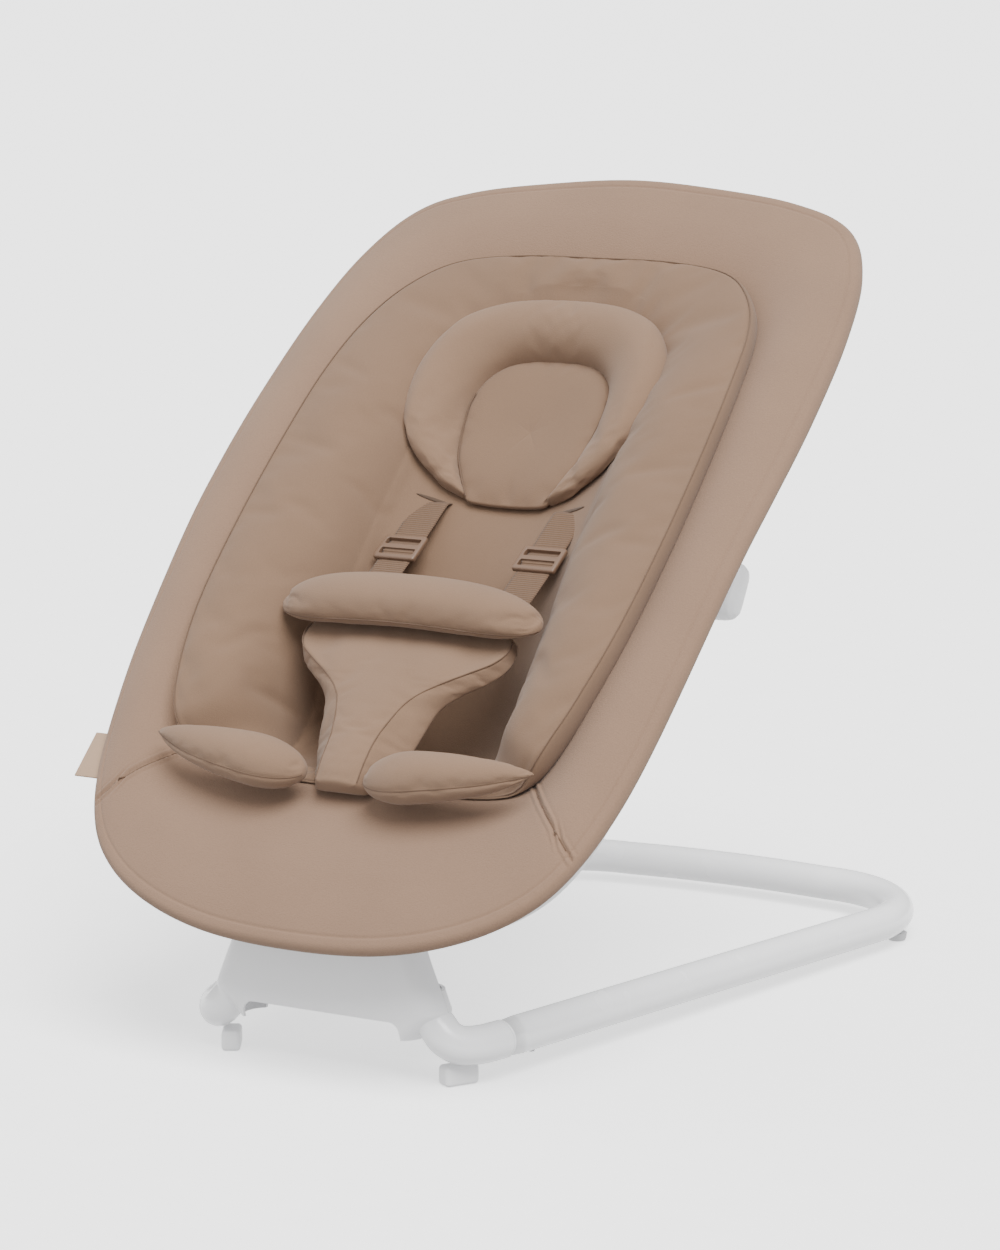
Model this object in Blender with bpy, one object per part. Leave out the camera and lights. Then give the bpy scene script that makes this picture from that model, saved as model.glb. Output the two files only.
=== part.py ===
"""A baby bouncer seat: a padded bucket shell on a sprung arm that rises from a U-shaped floor tube.

Metres, +Z up, the seat faces -Y. Everything hangs from the empty "datum", which puts the middle of the
bounding box's floor face at the origin. The seat is drawn in its own tilted frame: x across, y up the
slope of the rim plane from the front lip, z out of that plane towards the child.
"""

import math

import bmesh
import bpy
import numpy as np

# ---------------------------------------------------------------- driving dimensions
GAP = 0.0003  # between pieces that touch
FEET_TO_MIDDLE = 0.27685  # from the front feet back to the middle of the bounding box

TUBE_R = 0.014
TUBE_WALL = 0.0015
TUBE_SIDES = 14
SEAM = (0.1170, 0.0220, 0.0298)  # where an elbow meets the floor tube
RAIL_END = (0.1918, 0.4970, 0.0215)  # where the rail meets its rear corner
CORNER_MIDDLE = (0.0925, 0.5095)
CORNER_R = 0.100
REAR_MIDDLE_Y = 0.616
REAR_Z = 0.021
SPIGOT_R = 0.0118
SPIGOT_LENGTH = 0.055
BUTTON_R = 0.0031
BUTTON_FROM_SEAM = 0.035
ELBOW_TOP_WAY = (0.668, 0.0, -0.744)  # the elbow leaves the neck square to its slanted corner
ELBOW_PATH = ((0.08695, -0.0145, 0.04425), (0.0945, -0.0140, 0.0360), (0.1030, -0.0080, 0.0308),
              (0.1115, 0.0050, 0.0297), SEAM)

NECK_LEVELS = (0.034, 0.041, 0.054, 0.070, 0.088, 0.104)  # heights of the neck's sections
NECK_HALF_WIDTHS = (0.0745, 0.0822, 0.0968, 0.0905, 0.0830, 0.0770)
NECK_REAR_LEVELS = 4  # the rear cover stops here, below the arm's way out
NECK_Y = -0.0145
NECK_HALF_DEPTH = 0.0175
NECK_WALL = 0.0025
NECK_ARCH = (0.132, 0.0468)  # width and height of the arch under the neck, between the elbows
CROSS_TUBE = (-0.0135, 0.0635)  # y and z of the axis that the arm flexes about
CROSS_TUBE_R = 0.009
CLAMP_R = 0.0138

ARM_PATH = ((-0.0135, 0.0812), (-0.0085, 0.0985), (0.024, 0.1135), (0.100, 0.1190), (0.170, 0.1320),
            (0.238, 0.1750), (0.281, 0.2450), (0.2962, 0.3060))  # y and z
ARM_HALF_WIDTHS = (0.060, 0.060, 0.064, 0.070, 0.070, 0.064, 0.054, 0.048)
ARM_HALF_DEPTHS = (0.0075, 0.0080, 0.0090, 0.0100, 0.0100, 0.0100, 0.0100, 0.0100)
ARM_WALL = 0.0025

SEAT_LIP = (-0.093, 0.103)  # y and z of the seat frame's origin
SEAT_TILT = math.radians(43.7)
SHELL_WALL = 0.0030
COVER_THICK = 0.0030
RIM = ((0, .013), (.07, .017), (.125, .031), (.167, .054), (.195, .086), (.2135, .135), (.2255, .21),
       (.2325, .31), (.2375, .43), (.2375, .51), (.2325, .59), (.220, .656), (.194, .702), (.145, .721),
       (.075, .731), (0, .736))  # right half of the rim, x and y in the seat frame
INLAY = ((0, .135), (.08, .137), (.135, .145), (.158, .170), (.168, .215), (.176, .28), (.179, .36),
         (.178, .44), (.174, .51), (.165, .57), (.148, .61), (.118, .638), (.065, .649), (0, .650))
RIM_HEIGHT = ((0, -.018), (.02, -.010), (.05, -.004), (.10, .001), (.17, .005), (.25, .011), (.35, .015),
              (.42, .012), (.50, .005), (.60, -.004), (.66, -.009), (.70, -.010), (.72, -.004), (.74, .003))
SHELL_EDGE = ((.13, -.004), (.19, .008), (.27, .014), (.43, .012), (.52, .007), (.60, -.004), (.655, -.010))
INLAY_EDGE = ((.13, .006), (.165, .006), (.192, .028), (.27, .034), (.43, .030), (.52, .025), (.60, .013),
              (.655, .004))
SHELL_DEPTH = ((.13, -.004), (.15, -.035), (.165, -.070), (.19, -.112), (.22, -.137), (.26, -.140),
               (.30, -.126), (.35, -.100), (.40, -.076), (.45, -.062), (.50, -.056), (.55, -.047),
               (.60, -.033), (.655, -.010))
SEAT_DEPTH = ((.13, .006), (.15, -.018), (.165, -.046), (.19, -.085), (.22, -.107), (.26, -.110),
              (.30, -.097), (.35, -.070), (.40, -.046), (.45, -.033), (.50, -.028), (.55, -.020),
              (.60, -.008), (.655, .004))
NEST = ((0, .160), (.06, .162), (.095, .168), (.1125, .190), (.1135, .25), (.1135, .30), (.112, .40),
        (.1115, .50), (.106, .56), (.088, .603), (.05, .622), (0, .625))  # crease at the bolsters' foot
SEAT_SIDES = 48  # points round every ring of the seat
SEAT_MIDDLE = np.array((0.0, 0.40))  # the point that the inner rings shrink to
INNER_RINGS = (.22, .42, .60, .76, .89, 1.0)
NEST_RINGS = (.30, .62, 1.0)  # from the middle of the nest out to its crease
BOLSTER_STEPS = ((.005, .74), (.016, .97))  # distance out from the crease and share of the climb
FLARE_RINGS = (.25, .50, .75, .87, 1.0)
FLARE_CROWN = 0.007

HUB = (0.444, -0.100)  # y and z of the recline axis in the seat frame
HUB_R = 0.026
HUB_HALF_WIDTH = 0.106
AXLE_R = 0.005
PLATE_X = 0.112  # middle of each seat bracket
PLATE_THICK = 0.006
LOCK_RADIUS = 0.019
LOCK_R = 0.0019
LOCK_STEPS = (0.0, 17.5, 35.0)  # degrees of recline
HANDLE = (0.450, -0.1425)

STRAP_X = 0.060
STRAP_WIDTH = 0.025
STRAP_TOP = (0.423, -0.0300)
STRAP_END = (0.300, 0.0035)
ADJUSTER_AT = 0.47  # fraction of the strap's run
HARNESS_HINGE = (0.135, 0.008)
CROTCH_SPINE = ((.2640, .0110, .086, .088, .011), (.2560, .0110, .090, .092, .012),
                (.2350, .0140, .066, .069, .014), (.2170, .0140, .036, .050, .016),
                (.2000, .0135, .026, .040, .018), (.1740, .0135, .018, .0260, .017),
                (.1520, .0135, .0165, .0225, .015), (.1380, .0135, .016, .0200, .012))
# y, z, half width of the front, half width of the back, depth


# ---------------------------------------------------------------- curves and meshes
def smooth_path(points, count, mirrored_ends=False):
    """A Catmull-Rom curve through the points, resampled at equal arc lengths."""
    p = np.array(points, float)
    if mirrored_ends:  # the curve crosses x = 0 squarely at both ends
        flip = np.array([-1.0] + [1.0] * (p.shape[1] - 1))
        p = np.vstack([p[1] * flip, p, p[-2] * flip])
    else:
        p = np.vstack([2 * p[0] - p[1], p, 2 * p[-1] - p[-2]])
    t = np.linspace(0, 1, 24, endpoint=False)[:, None]
    runs = []
    for a, b, c, d in zip(p[:-3], p[1:-2], p[2:-1], p[3:]):
        runs.append(0.5 * (2 * b + (c - a) * t + (2 * a - 5 * b + 4 * c - d) * t**2
                           + (3 * b - a - 3 * c + d) * t**3))
    dense = np.vstack([*runs, p[-2]])
    along = np.concatenate([[0], np.cumsum(np.linalg.norm(np.diff(dense, axis=0), axis=1))])
    at = np.linspace(0, along[-1], count)
    return np.stack([np.interp(at, along, column) for column in dense.T], axis=1)


def height_curve(points):
    """A smooth function through (distance, height) pairs."""
    dense = smooth_path(points, 400)
    return lambda s: np.interp(s, dense[:, 0], dense[:, 1])


def outward(verts, faces):
    """Turns the faces round if the closed surface encloses a negative volume."""
    volume = 0.0
    for face in faces:
        a = verts[face[0]]
        for i in range(1, len(face) - 1):
            volume += np.dot(a, np.cross(verts[face[i]], verts[face[i + 1]]))
    return faces if volume > 0 else [tuple(reversed(face)) for face in faces]


def add(name, verts, faces, parent, material):
    """One named object from a closed surface, in its parent's frame."""
    verts = np.asarray(verts, float).reshape(-1, 3)
    mesh = bpy.data.meshes.new(name)
    mesh.from_pydata(verts.tolist(), [], outward(verts, faces))
    mesh.materials.append(MATERIALS[material])
    obj = bpy.data.objects.new(name, mesh)
    bpy.context.collection.objects.link(obj)
    obj.parent = parent
    mesh.shade_smooth()
    mesh.set_sharp_from_angle(angle=math.radians(40))
    return obj


def loft(name, loops, parent, material, ring=False):
    """Joins equal loops of points into a closed body, capped at both ends unless it runs in a ring."""
    loops = np.asarray(loops, float)
    rows, cols = loops.shape[:2]
    faces = []
    for i in range(rows if ring else rows - 1):
        for j in range(cols):
            k, m = (i + 1) % rows, (j + 1) % cols
            faces.append((i * cols + j, i * cols + m, k * cols + j))
            faces.append((i * cols + m, k * cols + m, k * cols + j))
    if not ring:
        faces += [tuple(reversed(range(cols))), tuple(range((rows - 1) * cols, rows * cols))]
    return add(name, loops.reshape(-1, 3), faces, parent, material)


def layer(name, top, bottom, parent, material):
    """A pad or shell between two stacks of rings, each stack shrinking to its first row's middle."""
    rows, cols = top.shape[:2]
    verts, faces = [], []
    for side, rings in enumerate((top, bottom)):
        base = side * (rows * cols + 1)
        verts += [rings[0].mean(axis=0), *rings.reshape(-1, 3)]
        turn = 1 if side == 0 else -1
        for j in range(cols):
            m = (j + 1) % cols
            faces.append((base, base + 1 + j, base + 1 + m)[::turn])
            for i in range(rows - 1):
                a, b = base + 1 + i * cols, base + 1 + (i + 1) * cols
                faces += [(a + j, b + j, b + m)[::turn], (a + j, b + m, a + m)[::turn]]
    outer_top, outer_bottom = 1 + (rows - 1) * cols, rows * cols + 2 + (rows - 1) * cols
    for j in range(cols):
        m = (j + 1) % cols
        faces.append((outer_top + j, outer_bottom + j, outer_bottom + m, outer_top + m))
    return add(name, verts, faces, parent, material)


def frames_along(path, first=None, last=None):
    """Tangent, side and up vectors of a path, the side kept level. The end tangents may be given."""
    tangent = np.gradient(path, axis=0)
    if first is not None:
        tangent[0] = first
    if last is not None:
        tangent[-1] = last
    tangent /= np.linalg.norm(tangent, axis=1)[:, None]
    side = np.cross(tangent, (0, 0, 1.0))
    side /= np.linalg.norm(side, axis=1)[:, None]
    return tangent, side, np.cross(side, tangent)


def circles(path, radii, sides=TUBE_SIDES, first=None, last=None):
    """A circle of the given radius square to the path at each of its points."""
    path = np.asarray(path, float)
    _, side, up = frames_along(path, first, last)
    turn = np.linspace(0, 2 * math.pi, sides, endpoint=False)
    spoke = side[:, None] * np.cos(turn)[None, :, None] + up[:, None] * np.sin(turn)[None, :, None]
    return path[:, None] + spoke * np.broadcast_to(radii, len(path))[:, None, None]


def cylinder(name, start, end, radius, parent, material, sides=20):
    """A plain round bar between two points."""
    start, end = np.array(start, float), np.array(end, float)
    axis = (end - start) / np.linalg.norm(end - start)
    helper = np.array((0, 0, 1.0)) if abs(axis[2]) < 0.9 else np.array((1.0, 0, 0))
    side = np.cross(axis, helper)
    side /= np.linalg.norm(side)
    turn = np.linspace(0, 2 * math.pi, sides, endpoint=False)
    spoke = np.outer(np.cos(turn), side) + np.outer(np.sin(turn), np.cross(axis, side))
    return loft(name, [start + radius * spoke, end + radius * spoke], parent, material)


def sleeve(name, x0, x1, middle, outer, inner, parent, material, sides=24):
    """A round tube along X about the given y and z."""
    turn = np.linspace(0, 2 * math.pi, sides, endpoint=False)
    loops = []
    for x, radius in ((x0, outer), (x1, outer), (x1, inner), (x0, inner)):
        loops.append(np.stack([np.full(sides, x), middle[0] + radius * np.cos(turn),
                               middle[1] + radius * np.sin(turn)], axis=1))
    return loft(name, loops, parent, material, ring=True)


def block(name, size, parent, material, radius=0.001, segments=2):
    """A box with rounded edges, about its own origin."""
    bm = bmesh.new()
    bmesh.ops.create_cube(bm, size=1.0)
    bmesh.ops.scale(bm, vec=size, verts=bm.verts)
    bmesh.ops.bevel(bm, geom=bm.edges[:], offset=radius, segments=segments, affect="EDGES", profile=0.5)
    mesh = bpy.data.meshes.new(name)
    bm.to_mesh(mesh)
    bm.free()
    mesh.materials.append(MATERIALS[material])
    obj = bpy.data.objects.new(name, mesh)
    bpy.context.collection.objects.link(obj)
    obj.parent = parent
    mesh.shade_smooth()
    mesh.set_sharp_from_angle(angle=math.radians(40))
    return obj


def cut(obj, cutter):
    """Takes the cutter out of the object and keeps it as a hidden guide."""
    cutter.hide_render = True
    cutter.display_type = "WIRE"
    modifier = obj.modifiers.new("cut_" + cutter.name, "BOOLEAN")
    modifier.operation = "DIFFERENCE"
    modifier.object = cutter


def empty(name, location, parent=None, tilt=0.0):
    """An empty that carries a group of pieces."""
    obj = bpy.data.objects.new(name, None)
    bpy.context.collection.objects.link(obj)
    obj.parent = parent
    obj.location = location
    obj.rotation_euler = (tilt, 0, 0)
    return obj


def material(name, colour, roughness, metallic=0.0):
    """A plain finish for one kind of piece."""
    made = bpy.data.materials.new(name)
    made.use_nodes = True
    shader = made.node_tree.nodes["Principled BSDF"]
    shader.inputs["Base Color"].default_value = (*colour, 1)
    shader.inputs["Roughness"].default_value = roughness
    shader.inputs["Metallic"].default_value = metallic
    return made


# ---------------------------------------------------------------- floor base
def make_floor_tube(root):
    """The U-shaped tube: two rails that spread to the rear, two corners and a bowed rear bar."""
    rail = np.linspace(SEAM, RAIL_END, 4)[:-1]
    turn = np.radians(np.linspace(-7, 90, 9))
    corner = np.stack([CORNER_MIDDLE[0] + CORNER_R * np.cos(turn),
                       CORNER_MIDDLE[1] + CORNER_R * np.sin(turn),
                       np.linspace(RAIL_END[2], REAR_Z, len(turn))], axis=1)
    bow_x = np.array([0.070, 0.035, 0.0])
    bow_rise = REAR_MIDDLE_Y - corner[-1, 1]
    bow = np.stack([bow_x, REAR_MIDDLE_Y - bow_rise * (bow_x / CORNER_MIDDLE[0]) ** 2,
                    np.full(3, REAR_Z)], axis=1)
    half = np.vstack([rail, corner, bow])
    path = np.vstack([half, half[-2::-1] * (-1, 1, 1)])
    outside, inside = circles(path, TUBE_R), circles(path, TUBE_R - TUBE_WALL)
    loops = np.concatenate([outside, inside[::-1]])
    tube = loft("floor_tube", loops, root, "white_paint", ring=True)
    for side in (-1, 1):
        x, y, z = button_place(side)
        cut(tube, cylinder(f"button_hole_{side}", (x, y, z - 0.02), (x, y, z - 0.006), BUTTON_R + 0.0007,
                           root, "dark_steel"))
    return tube


def button_place(side):
    """The point of the rail's axis above a snap button."""
    start, end = np.array(SEAM), np.array(RAIL_END)
    point = start + (end - start) / np.linalg.norm(end - start) * BUTTON_FROM_SEAM
    return point * (side, 1, 1)


def make_elbow(side, name, root):
    """A bent tube from the neck down to the rail, ending in the spigot that the rail slides over."""
    bend = smooth_path(ELBOW_PATH, 10)
    rail = (np.array(RAIL_END) - SEAM) / np.linalg.norm(np.array(RAIL_END) - SEAM)
    bend[-1] = np.array(SEAM) - GAP * rail
    spigot = np.array([bend[-1] + rail * d for d in (0.0, 0.002, SPIGOT_LENGTH - 0.003, SPIGOT_LENGTH)])
    loops = np.concatenate([circles(bend, TUBE_R, first=ELBOW_TOP_WAY, last=rail),
                            circles(spigot, (SPIGOT_R, SPIGOT_R, SPIGOT_R, SPIGOT_R - 0.002))])
    loops = loops * (side, 1, 1)
    elbow = loft(f"elbow_{name}", loops, root, "white_paint")
    x, y, z = button_place(side)
    cut(elbow, cylinder(f"button_pocket_{name}", (x, y, z - 0.02), (x, y, z + 0.0045), BUTTON_R + 0.0005,
                        root, "dark_steel"))


def make_snap_button(side, name, root):
    """The sprung pin that holds the rail on its spigot."""
    x, y, z = button_place(side)
    axis = empty(f"snap_axis_{name}", (x, y, z - 0.0155), root)
    turn = np.linspace(0, 2 * math.pi, 16, endpoint=False)
    loops = [np.stack([r * np.cos(turn), r * np.sin(turn), np.full(16, h)], axis=1)
             for r, h in ((0.0018, 0.0), (0.0027, 0.0004), (BUTTON_R, 0.0014), (BUTTON_R, 0.0145))]
    loft(f"snap_button_{name}", loops, axis, "dark_steel")


def make_front_foot(side, name, root):
    """A moulded blade under the elbow, toed in."""
    foot = block(f"foot_front_{name}", (0.0140, 0.027, 0.0150), root, "white_plastic", 0.003)
    foot.location = (side * 0.0965, -0.0010, 0.0075)
    foot.rotation_euler = (0, 0, -side * math.radians(30))


def make_rear_foot(side, name, root):
    """A low round pad under the rear corner."""
    turn = np.linspace(0, 2 * math.pi, 20, endpoint=False)
    loops = []
    for r, z in ((0.0065, 0.0), (0.0075, 0.0012), (0.0085, 0.0067)):
        loops.append(np.column_stack([side * 0.1905 + r * np.cos(turn), 0.5367 + r * np.sin(turn),
                                      np.full(20, z)]))
    loft(f"foot_rear_{name}", loops, root, "grey_rubber")


def half_shell(middle, half_width, half_depth, wall, toward, count=9):
    """Half of a stadium outline with a wall, as (x, d) pairs, d being the distance from the parting line."""
    arc = np.linspace(0, math.pi / 2, count // 2 + 1)
    outer = [(half_width - half_depth * (1 - math.cos(a)), half_depth * math.sin(a)) for a in arc]
    inner_depth = half_depth - wall
    inner_width = half_width - wall
    inner = [(inner_width - inner_depth * (1 - math.cos(a)), inner_depth * math.sin(a)) for a in arc]
    right = np.array(outer)
    left = right[::-1] * (-1, 1)
    back_right = np.array(inner)
    back_left = back_right[::-1] * (-1, 1)
    loop = np.vstack([right, left, back_left[::-1], back_right[::-1]])
    return np.stack([loop[:, 0], middle + toward * (loop[:, 1] + GAP / 2)], axis=1)


def make_neck(root):
    """The two covers that wrap the elbows' upper ends, and the cross tube and screws inside and behind."""
    for name, toward, levels in (("front", -1, len(NECK_LEVELS)), ("rear", 1, NECK_REAR_LEVELS)):
        loops = []
        for z, half_width in zip(NECK_LEVELS[:levels], NECK_HALF_WIDTHS):
            flat = half_shell(NECK_Y, half_width, NECK_HALF_DEPTH, NECK_WALL, toward)
            loops.append(np.stack([flat[:, 0], flat[:, 1], np.full(len(flat), z)], axis=1))
        cover = loft(f"neck_{name}_cover", loops, root, "white_plastic")
        width, height = NECK_ARCH
        arch = block(f"neck_arch_{name}", (width, 0.08, 0.04), root, "dark_steel", 0.008, 3)
        arch.location = (0, NECK_Y, height - 0.02)
        cut(cover, arch)
    sleeve("neck_cross_tube", -0.078, 0.078, CROSS_TUBE, CROSS_TUBE_R, CROSS_TUBE_R - 0.0015, root,
           "dark_steel")
    face = NECK_Y + NECK_HALF_DEPTH + 2 * GAP
    for height, level in ((0.0535, "lower"), (0.0645, "upper")):
        for side, name in ((-1, "left"), (1, "right")):
            cylinder(f"neck_screw_{level}_{name}", (side * 0.060, face, height),
                     (side * 0.060, face + 0.0018, height), 0.004, root, "dark_steel", 14)


# ---------------------------------------------------------------- sprung arm, hub and recline lock
def make_arm(arm):
    """Two covers round a spring leaf, from the clamp on the cross tube up to the hub. The arm's empty is
    on the cross tube's axis, so the path is taken relative to it."""
    path = smooth_path(ARM_PATH, 15) - CROSS_TUBE
    along = np.linspace(0, 1, len(ARM_HALF_WIDTHS))
    widths = np.interp(np.linspace(0, 1, len(path)), along, ARM_HALF_WIDTHS)
    depths = np.interp(np.linspace(0, 1, len(path)), along, ARM_HALF_DEPTHS)
    tangent = np.gradient(path, axis=0)
    tangent /= np.linalg.norm(tangent, axis=1)[:, None]
    normal = np.stack([-tangent[:, 1], tangent[:, 0]], axis=1)
    for name, toward in (("upper", 1), ("lower", -1)):
        loops = []
        for point, n, half_width, half_depth in zip(path, normal, widths, depths):
            flat = half_shell(0.0, half_width, half_depth, ARM_WALL, toward)
            loops.append(np.stack([flat[:, 0], point[0] + n[0] * flat[:, 1], point[1] + n[1] * flat[:, 1]],
                                  axis=1))
        loft(f"arm_{name}_cover", loops, arm, "white_plastic")
    loops = []
    for point, n in zip(path, normal):
        corners = ((-0.022, -0.0015), (0.022, -0.0015), (0.022, 0.0015), (-0.022, 0.0015))
        loops.append([(x, point[0] + n[0] * d, point[1] + n[1] * d) for x, d in corners])
    loft("arm_spring_leaf", loops, arm, "dark_steel")
    sleeve("arm_clamp", -0.045, 0.045, (0, 0), CLAMP_R, CROSS_TUBE_R + 0.0004, arm, "dark_steel")


def make_hub(hub):
    """The hub that the seat turns on: a bored bar across the arm's top, with a pocket for each lock pin."""
    body = sleeve("recline_hub", -HUB_HALF_WIDTH, HUB_HALF_WIDTH, (0, 0), HUB_R, AXLE_R + 0.0005, hub,
                  "white_plastic", 32)
    for side, name in ((-1, "left"), (1, "right")):
        y, z = lock_place(0)
        start, end = side * 0.066, side * (HUB_HALF_WIDTH + 0.01)
        cut(body, cylinder(f"lock_pocket_{name}", (start, y, z), (end, y, z), LOCK_R + 0.0004, hub,
                           "dark_steel", 14))
        axis = empty(f"lock_axis_{name}", (0, y, z), hub)
        tip = side * (PLATE_X - PLATE_THICK / 2 - 0.0005)
        cylinder(f"lock_pin_{name}", (tip - side * 0.032, 0, 0), (tip, 0, 0), LOCK_R, axis, "dark_steel", 14)


def lock_place(recline):
    """y and z of a lock hole from the hub's axis, in world directions, for a recline in degrees."""
    angle = SEAT_TILT - math.pi / 2 + math.radians(recline)
    return LOCK_RADIUS * math.cos(angle), LOCK_RADIUS * math.sin(angle)


def make_handle(hub):
    """The release bar behind the hub, with rounded lobes that stick out past the seat's back."""
    slope = np.array((math.cos(SEAT_TILT), math.sin(SEAT_TILT)))
    out = np.array((-slope[1], slope[0]))
    place = (HANDLE[0] - HUB[0]) * slope + (HANDLE[1] - HUB[1]) * out
    axis = empty("handle_axis", (0, *place), hub)
    lean = SEAT_TILT + math.radians(15)
    long_way = np.array((math.cos(lean), math.sin(lean)))
    thick_way = np.array((-math.sin(lean), math.cos(lean)))
    stations = ((.151, .35), (.150, .62), (.1465, .88), (.141, 1.0), (.128, 1.0), (.118, .86), (.104, .80))
    stations = stations + tuple((-x, scale) for x, scale in reversed(stations))
    turn = np.linspace(0, 2 * math.pi, 20, endpoint=False)
    loops = []
    for x, scale in stations:
        long_half, thick_half = 0.0235 - 0.012 * (1 - scale), 0.0118 * scale
        straight = long_half - thick_half
        along = thick_half * np.cos(turn) + straight * np.sign(np.round(np.cos(turn), 6))
        across = thick_half * np.sin(turn)
        flat = along[:, None] * long_way + across[:, None] * thick_way
        loops.append(np.column_stack([np.full(20, x), flat]))
    loft("recline_handle", loops, axis, "white_plastic")


def make_brackets(seat):
    """The plates that hang the shell on the recline axle, each with three lock holes, and their screws."""
    top_edge = ((.505, -.0475), (.480, -.0495), (.444, -.0530), (.410, -.0600), (.385, -.0690))
    swing = np.radians(np.linspace(205, 335, 9))
    foot = [(HUB[0] + 0.0245 * math.cos(a), HUB[1] + 0.0245 * math.sin(a)) for a in swing]
    outline = np.array([*top_edge, *foot])
    for side, name in ((-1, "left"), (1, "right")):
        loops = [np.column_stack([np.full(len(outline), side * (PLATE_X + d)), outline])
                 for d in (-PLATE_THICK / 2, PLATE_THICK / 2)]
        plate = loft(f"seat_bracket_{name}", loops, seat, "white_plastic")
        ends = (side * (PLATE_X - 0.01), side * (PLATE_X + 0.01))
        cut(plate, cylinder(f"axle_hole_{name}", (ends[0], *HUB), (ends[1], *HUB), AXLE_R + GAP, seat,
                            "dark_steel"))
        for step in LOCK_STEPS:
            angle = -math.pi / 2 + math.radians(step)
            y, z = HUB[0] + LOCK_RADIUS * math.cos(angle), HUB[1] + LOCK_RADIUS * math.sin(angle)
            cut(plate, cylinder(f"lock_hole_{name}_{step:.0f}", (ends[0], y, z), (ends[1], y, z),
                                LOCK_R + 0.0004, seat, "dark_steel", 12))
        face = side * (PLATE_X + PLATE_THICK / 2 + GAP)
        head = face + side * 0.0022
        for y, z, place in ((.412, -.0690, "front"), (.480, -.0590, "rear")):
            cylinder(f"bracket_screw_{name}_{place}", (face, y, z), (head, y, z), 0.0042, seat,
                     "dark_steel", 14)
    cylinder("recline_axle", (-0.1185, *HUB), (0.1185, *HUB), AXLE_R, seat, "dark_steel", 24)


# ---------------------------------------------------------------- seat bucket and soft goods
def closed_outline(points):
    """A full outline from its right half, starting at the front middle."""
    half = smooth_path(points, SEAT_SIDES // 2 + 1, mirrored_ends=True)
    return np.vstack([half, half[-2:0:-1] * (-1, 1)])


def across_fraction(x, y):
    """How far a point lies from the middle, as a fraction of the inlay's half width at its y."""
    half = smooth_path(INLAY, 300, mirrored_ends=True)
    lower = half[: np.argmax(half[:, 0]) + 1]
    upper = half[np.argmax(half[:, 0]):]
    width = np.where(y < lower[-1, 1], np.interp(y, lower[:, 1], lower[:, 0]),
                     np.interp(y, upper[:, 1], upper[:, 0]))
    return np.clip(np.abs(x) / np.maximum(width, 1e-4), 0, 1)


def bowl(x, y):
    """The shell's trough: flat across its middle, climbing to the inlay's edge on each side."""
    climb = np.clip((across_fraction(x, y) - 0.42) / 0.58, 0, 1) ** 1.2
    middle = height_curve(SHELL_DEPTH)(y)
    return middle + (height_curve(SHELL_EDGE)(y) - middle) * climb


def bowl_rings(lift=0.0):
    """Rings of the shell's trough, from the middle of the seat out to the inlay's outline."""
    outline = closed_outline(INLAY)
    flat = [SEAT_MIDDLE + a * (outline - SEAT_MIDDLE) for a in INNER_RINGS]
    return np.array([np.column_stack([f, bowl(f[:, 0], f[:, 1]) + lift]) for f in flat])


def nest_rings():
    """Rings of the padding's top: across the well and back, up the bolsters' steep foot and over their
    tops to the outline."""
    outline, crease = closed_outline(INLAY), closed_outline(NEST)
    low, high = height_curve(SEAT_DEPTH), height_curve(INLAY_EDGE)
    rings = []
    for fraction in NEST_RINGS:
        flat = SEAT_MIDDLE + fraction * (crease - SEAT_MIDDLE)
        rings.append(np.column_stack([flat, low(flat[:, 1])]))
    width = np.linalg.norm(outline - crease, axis=1)
    for distance, climb in BOLSTER_STEPS:
        flat = crease + (outline - crease) * (distance / width)[:, None]
        foot = low(crease[:, 1])
        rings.append(np.column_stack([flat, foot + (high(flat[:, 1]) - foot) * climb]))
    rings.append(np.column_stack([outline, high(outline[:, 1])]))
    return np.array(rings)


def flare_rings(fractions, inset=0.0, lift=0.0):
    """Rings across the flared rim, from the inlay's outline (0) out to the rim (1), less the inset."""
    inlay, rim = closed_outline(INLAY), closed_outline(RIM)
    width = np.linalg.norm(rim - inlay, axis=1)
    start = height_curve(SHELL_EDGE)(inlay[:, 1])
    finish = height_curve(RIM_HEIGHT)(rim[:, 1])
    rings = []
    for fraction in fractions:
        t = fraction - inset / width
        flat = inlay + (rim - inlay) * t[:, None]
        rise = start + (finish - start) * t**2 + FLARE_CROWN * np.sin(math.pi * t)
        rings.append(np.column_stack([flat, rise + lift]))
    return np.array(rings)


def make_shell(seat):
    """The moulded bucket: the seat well and the flared rim in one wall."""
    top = np.concatenate([bowl_rings(), flare_rings(FLARE_RINGS[:-1]), flare_rings((1.0,), inset=0.0045)])
    shell = layer("seat_shell", top, top - (0, 0, SHELL_WALL), seat, "white_plastic")
    for side in (-1, 1):
        slot = block(f"strap_slot_{side}", (0.032, 0.006, 0.06), seat, "dark_steel", 0.0005, 1)
        slot.location = (side * STRAP_X, 0.436, -0.063)
        cut(shell, slot)


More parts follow.
